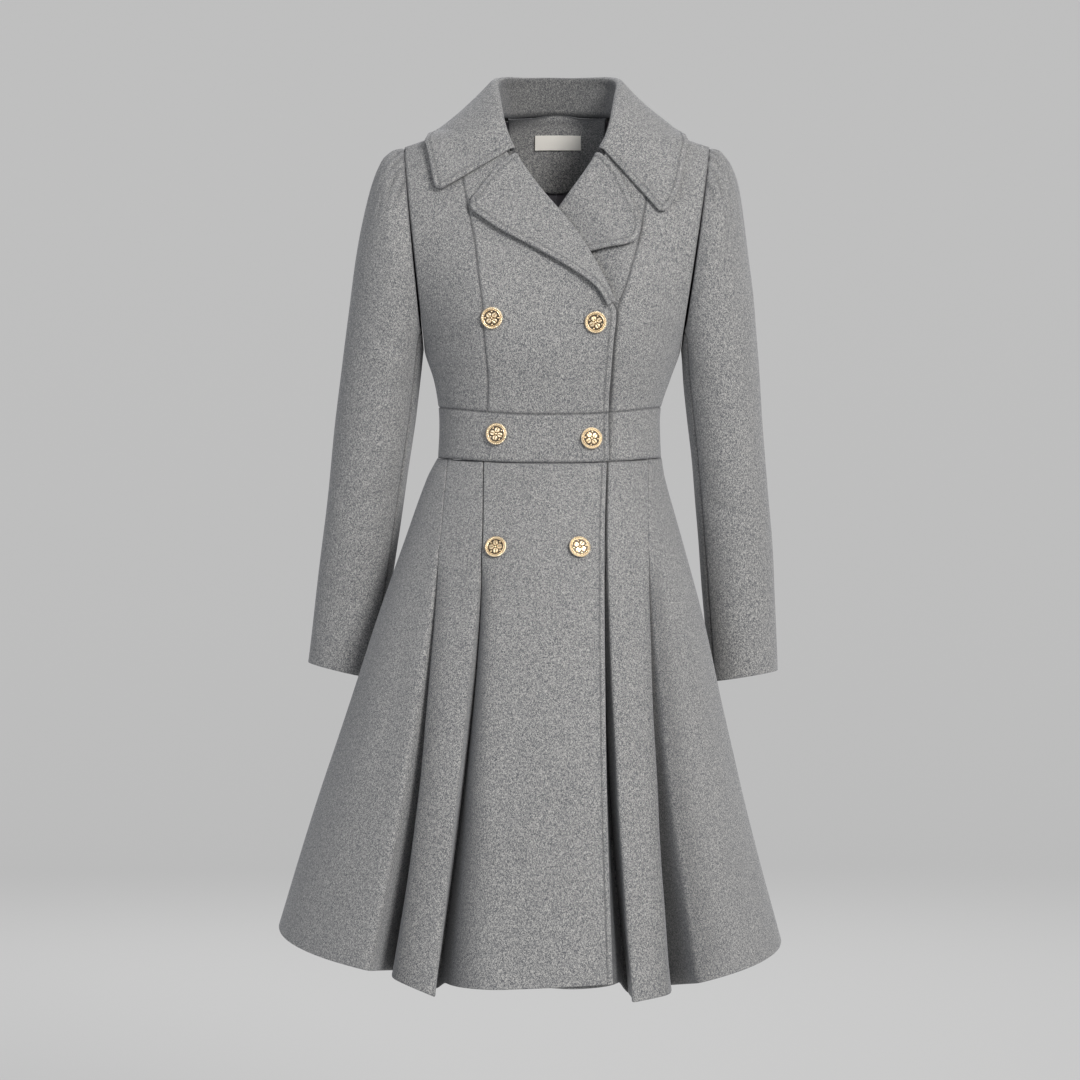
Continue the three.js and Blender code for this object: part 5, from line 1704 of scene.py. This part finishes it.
def antiqued(name, look):
    """Pale gold with dark antiquing left in its hollows."""
    material, tree, shader, place = new_material(name)
    raised = node(tree, "ShaderNodeAttribute", attribute_name="raised")
    stain = node(tree, "ShaderNodeTexNoise", Scale=1400.0, Detail=3.0)
    tree.links.new(place, stain.inputs["Vector"])
    worn = node(tree, "ShaderNodeMath", operation="MULTIPLY_ADD")
    worn.inputs[1].default_value = 0.35
    tree.links.new(stain.outputs["Fac"], worn.inputs[0])
    tree.links.new(raised.outputs["Fac"], worn.inputs[2])
    stops = ((0.18, look.antiquing), (0.36, look.gilt_shade), (0.62, look.gilt))
    tree.links.new(ramp(tree, worn.outputs[0], *stops), shader.inputs["Base Color"])
    metal = node(tree, "ShaderNodeMapRange")
    metal.inputs["From Min"].default_value = 0.15
    metal.inputs["From Max"].default_value = 0.45
    metal.inputs["To Min"].default_value = 0.2
    tree.links.new(worn.outputs[0], metal.inputs["Value"])
    tree.links.new(metal.outputs["Result"], shader.inputs["Metallic"])
    rough = node(tree, "ShaderNodeMapRange")
    rough.inputs["To Min"].default_value = 0.24
    rough.inputs["To Max"].default_value = 0.42
    tree.links.new(stain.outputs["Fac"], rough.inputs["Value"])
    tree.links.new(rough.outputs["Result"], shader.inputs["Roughness"])
    bump(tree, shader, stain.outputs["Fac"], 0.00004)
    return material


# Stage


def build_stage():
    """Camera of the photograph, plain sweep of floor and wall, and soft studio light."""
    scene = bpy.context.scene
    camera = bpy.data.cameras.new("Camera")
    camera.sensor_width = 36.0
    camera.lens = 36.0 * -CAMERA["y"] / CAMERA["view_width"]
    camera.clip_end = 60.0
    eye = bpy.data.objects.new("Camera", camera)
    eye.location = (CAMERA["x"], CAMERA["y"], CAMERA["z"])
    eye.rotation_euler = (math.pi / 2, 0, 0)
    scene.collection.objects.link(eye)
    scene.camera = eye
    look = scene.coat_look
    world = bpy.data.worlds.new("Studio")
    world.use_nodes = True
    world.node_tree.nodes["Background"].inputs["Color"].default_value = colour(look.air)
    world.node_tree.nodes["Background"].inputs["Strength"].default_value = look.air_strength
    scene.world = world
    scene.view_settings.view_transform = "Standard"
    studio_dish(look)
    for name, (place, size, share, tint) in LAMPS.items():
        lamp = bpy.data.lights.new(name, "AREA")
        lamp.color = tint
        lamp.size = size
        lamp.energy = look.key_power * share
        obj = bpy.data.objects.new(name, lamp)
        obj.location = place
        obj.rotation_euler = direction_angles(np.array(LAMPS_AIM) - np.array(place))
        scene.collection.objects.link(obj)


def studio_dish(look):
    """Plain floor that curves up into a plain wall all round."""
    bend = DISH["bend"]
    turns = DISH["turns"]
    profile = []
    for a in np.linspace(0, math.pi / 2, 25):
        radius = DISH["floor_radius"] + bend * math.sin(a)
        profile.append((radius, DISH["floor"] + bend * (1 - math.cos(a))))
    profile.append((DISH["floor_radius"] + bend, DISH["top"]))
    points = [(0, 0, DISH["floor"] / MM)]
    for radius, z in profile:
        for a in np.linspace(0, 2 * math.pi, turns, endpoint=False):
            points.append((radius * math.cos(a) / MM, radius * math.sin(a) / MM, z / MM))
    faces = [(0, 1 + i, 1 + (i + 1) % turns) for i in range(turns)]
    for ring in range(len(profile) - 1):
        first = 1 + turns * ring
        for i in range(turns):
            j = (i + 1) % turns
            faces.append((first + i, first + turns + i, first + turns + j, first + j))
    return new_object("studio_dish", points, faces, [paper("Studio Paper", look)])


def direction_angles(aim):
    """Rotation that turns a lamp's -Z to a direction."""
    x, y, z = aim / np.linalg.norm(aim)
    return (math.acos(-z), 0.0, math.atan2(-x, y) if abs(x) + abs(y) > 1e-6 else 0.0)


def paper(name, look):
    """Plain backdrop paper with a little light of its own."""
    material, tree, shader, place = new_material(name)
    grain = node(tree, "ShaderNodeTexNoise", Scale=60.0, Detail=2.0)
    tree.links.new(place, grain.inputs["Vector"])
    base = ramp(tree, grain.outputs["Fac"], (0.3, [c * 0.99 for c in look.paper]), (0.7, look.paper))
    tree.links.new(base, shader.inputs["Base Color"])
    shader.inputs["Roughness"].default_value = 0.95
    shader.inputs["Specular IOR Level"].default_value = 0.0
    shader.inputs["Emission Color"].default_value = colour(look.paper)
    shader.inputs["Emission Strength"].default_value = look.paper_glow
    return material


# Add-on


def shade_property(name, description, default):
    return bpy.props.FloatVectorProperty(
        name=name, description=description, default=default, size=3, min=0, max=1, subtype="COLOR")


class CoatLook(bpy.types.PropertyGroup):
    """Colours and light of the coat."""

    wool_dark: shade_property("Dark fibres", "Colour of the wool's darkest fibres", (0.07, 0.072, 0.08))
    wool_middle: shade_property("Wool", "Main colour of the wool", (0.19, 0.19, 0.192))
    wool_light: shade_property("Light fibres", "Colour of the wool's palest fibres", (0.38, 0.374, 0.358))
    lining: shade_property("Lining", "Colour of the lining", (0.13, 0.12, 0.14))
    label: shade_property("Label", "Colour of the bare neck label", (0.95, 0.92, 0.86))
    gilt: shade_property("Gilt", "Colour of the raised parts of the buttons", (0.95, 0.79, 0.56))
    gilt_shade: shade_property("Shaded gilt", "Colour of the low parts of the buttons", (0.5, 0.36, 0.2))
    antiquing: shade_property("Antiquing", "Dark colour in the buttons' hollows", (0.03, 0.022, 0.015))
    paper: shade_property("Backdrop", "Colour of the floor and backdrop", (0.2, 0.2, 0.2))
    air: shade_property("Ambient colour", "Colour of the even light in the room", (1.0, 1.0, 1.0))
    paper_glow: bpy.props.FloatProperty(
        name="Backdrop light", description="Even light of the backdrop itself", default=2.0, min=0)
    air_strength: bpy.props.FloatProperty(
        name="Ambient light", description="Strength of the even light in the room", default=0.2, min=0)
    key_power: bpy.props.FloatProperty(
        name="Key light", description="Power of the main soft lamp", default=185.0, min=0, unit="POWER")


class CoatSizes(bpy.types.PropertyGroup):
    """Sizes of the stitching and the buttons' relief."""

    stitch_pitch: bpy.props.FloatProperty(
        name="Stitch pitch", description="Distance from stitch to stitch", default=0.0034, unit="LENGTH")
    stitch_length: bpy.props.FloatProperty(
        name="Stitch length", description="Length of a stitch", default=0.0026, unit="LENGTH")
    thread: bpy.props.FloatProperty(
        name="Thread", description="Thickness of the thread", default=0.0006, unit="LENGTH")
    relief: bpy.props.FloatProperty(
        name="Button relief", description="Share of the full relief of the button faces", default=1.0,
        subtype="FACTOR", min=0, max=1.5)


class COAT_OT_stage(bpy.types.Operator):
    """Camera, sweep and soft light"""

    bl_idname = "coat.stage"
    bl_label = "Stage"

    def execute(self, context):
        build_stage()
        return {"FINISHED"}


class COAT_OT_bodice(bpy.types.Operator):
    """Fronts and backs of the bodice with rolled princess seams"""

    bl_idname = "coat.bodice"
    bl_label = "Bodice"

    def execute(self, context):
        build_bodice()
        return {"FINISHED"}


class COAT_OT_waistband(bpy.types.Operator):
    """Waistband in three pieces"""

    bl_idname = "coat.waistband"
    bl_label = "Waistband"

    def execute(self, context):
        build_waistband()
        return {"FINISHED"}


class COAT_OT_skirt(bpy.types.Operator):
    """Ten skirt panels with their pleats"""

    bl_idname = "coat.skirt"
    bl_label = "Skirt"

    def execute(self, context):
        build_skirt()
        return {"FINISHED"}


class COAT_OT_sleeves(bpy.types.Operator):
    """Upper and under sleeves with gathered heads"""

    bl_idname = "coat.sleeves"
    bl_label = "Sleeves"

    def execute(self, context):
        build_sleeves()
        return {"FINISHED"}


class COAT_OT_collar(bpy.types.Operator):
    """Collar, lapels, neck facing and label"""

    bl_idname = "coat.collar"
    bl_label = "Collar and lapels"

    def execute(self, context):
        build_lapels()
        build_collar()
        build_neck()
        return {"FINISHED"}


class COAT_OT_buttons(bpy.types.Operator):
    """Six gilt shank buttons with a roped rim and a quatrefoil"""

    bl_idname = "coat.buttons"
    bl_label = "Buttons"

    def execute(self, context):
        for name, turn in BUTTONS.items():
            build_button(name, context.scene.coat_sizes.relief, turn)
        return {"FINISHED"}


class COAT_OT_stitches(bpy.types.Operator):
    """Topstitching, buttonhole ends and the label's end stitches"""

    bl_idname = "coat.stitches"
    bl_label = "Stitches"

    def execute(self, context):
        sizes = context.scene.coat_sizes
        build_stitches((sizes.stitch_pitch, sizes.stitch_length, sizes.thread))
        return {"FINISHED"}


class COAT_PT_panel(bpy.types.Panel):
    """Pieces of the coat, and the sizes and colours that can be changed"""

    bl_label = "Flared Coat"
    bl_space_type = "VIEW_3D"
    bl_region_type = "UI"
    bl_category = "Coat"

    def draw(self, context):
        for group in (context.scene.coat_sizes, context.scene.coat_look):
            for name in group.__annotations__:
                self.layout.prop(group, name)
        for operator in OPERATORS:
            self.layout.operator(operator.bl_idname)


OPERATORS = (
    COAT_OT_stage,
    COAT_OT_bodice,
    COAT_OT_waistband,
    COAT_OT_skirt,
    COAT_OT_sleeves,
    COAT_OT_collar,
    COAT_OT_buttons,
    COAT_OT_stitches,
)
CLASSES = (CoatLook, CoatSizes, *OPERATORS, COAT_PT_panel)


def register():
    for each in CLASSES:
        bpy.utils.register_class(each)
    bpy.types.Scene.coat_look = bpy.props.PointerProperty(type=CoatLook)
    bpy.types.Scene.coat_sizes = bpy.props.PointerProperty(type=CoatSizes)


def unregister():
    del bpy.types.Scene.coat_sizes
    del bpy.types.Scene.coat_look
    for each in reversed(CLASSES):
        bpy.utils.unregister_class(each)


def main():
    register()
    bpy.ops.coat.stage()
    bpy.ops.coat.bodice()
    bpy.ops.coat.waistband()
    bpy.ops.coat.skirt()
    bpy.ops.coat.sleeves()
    bpy.ops.coat.collar()
    bpy.ops.coat.buttons()
    bpy.ops.coat.stitches()


if __name__ == "__main__":
    main()
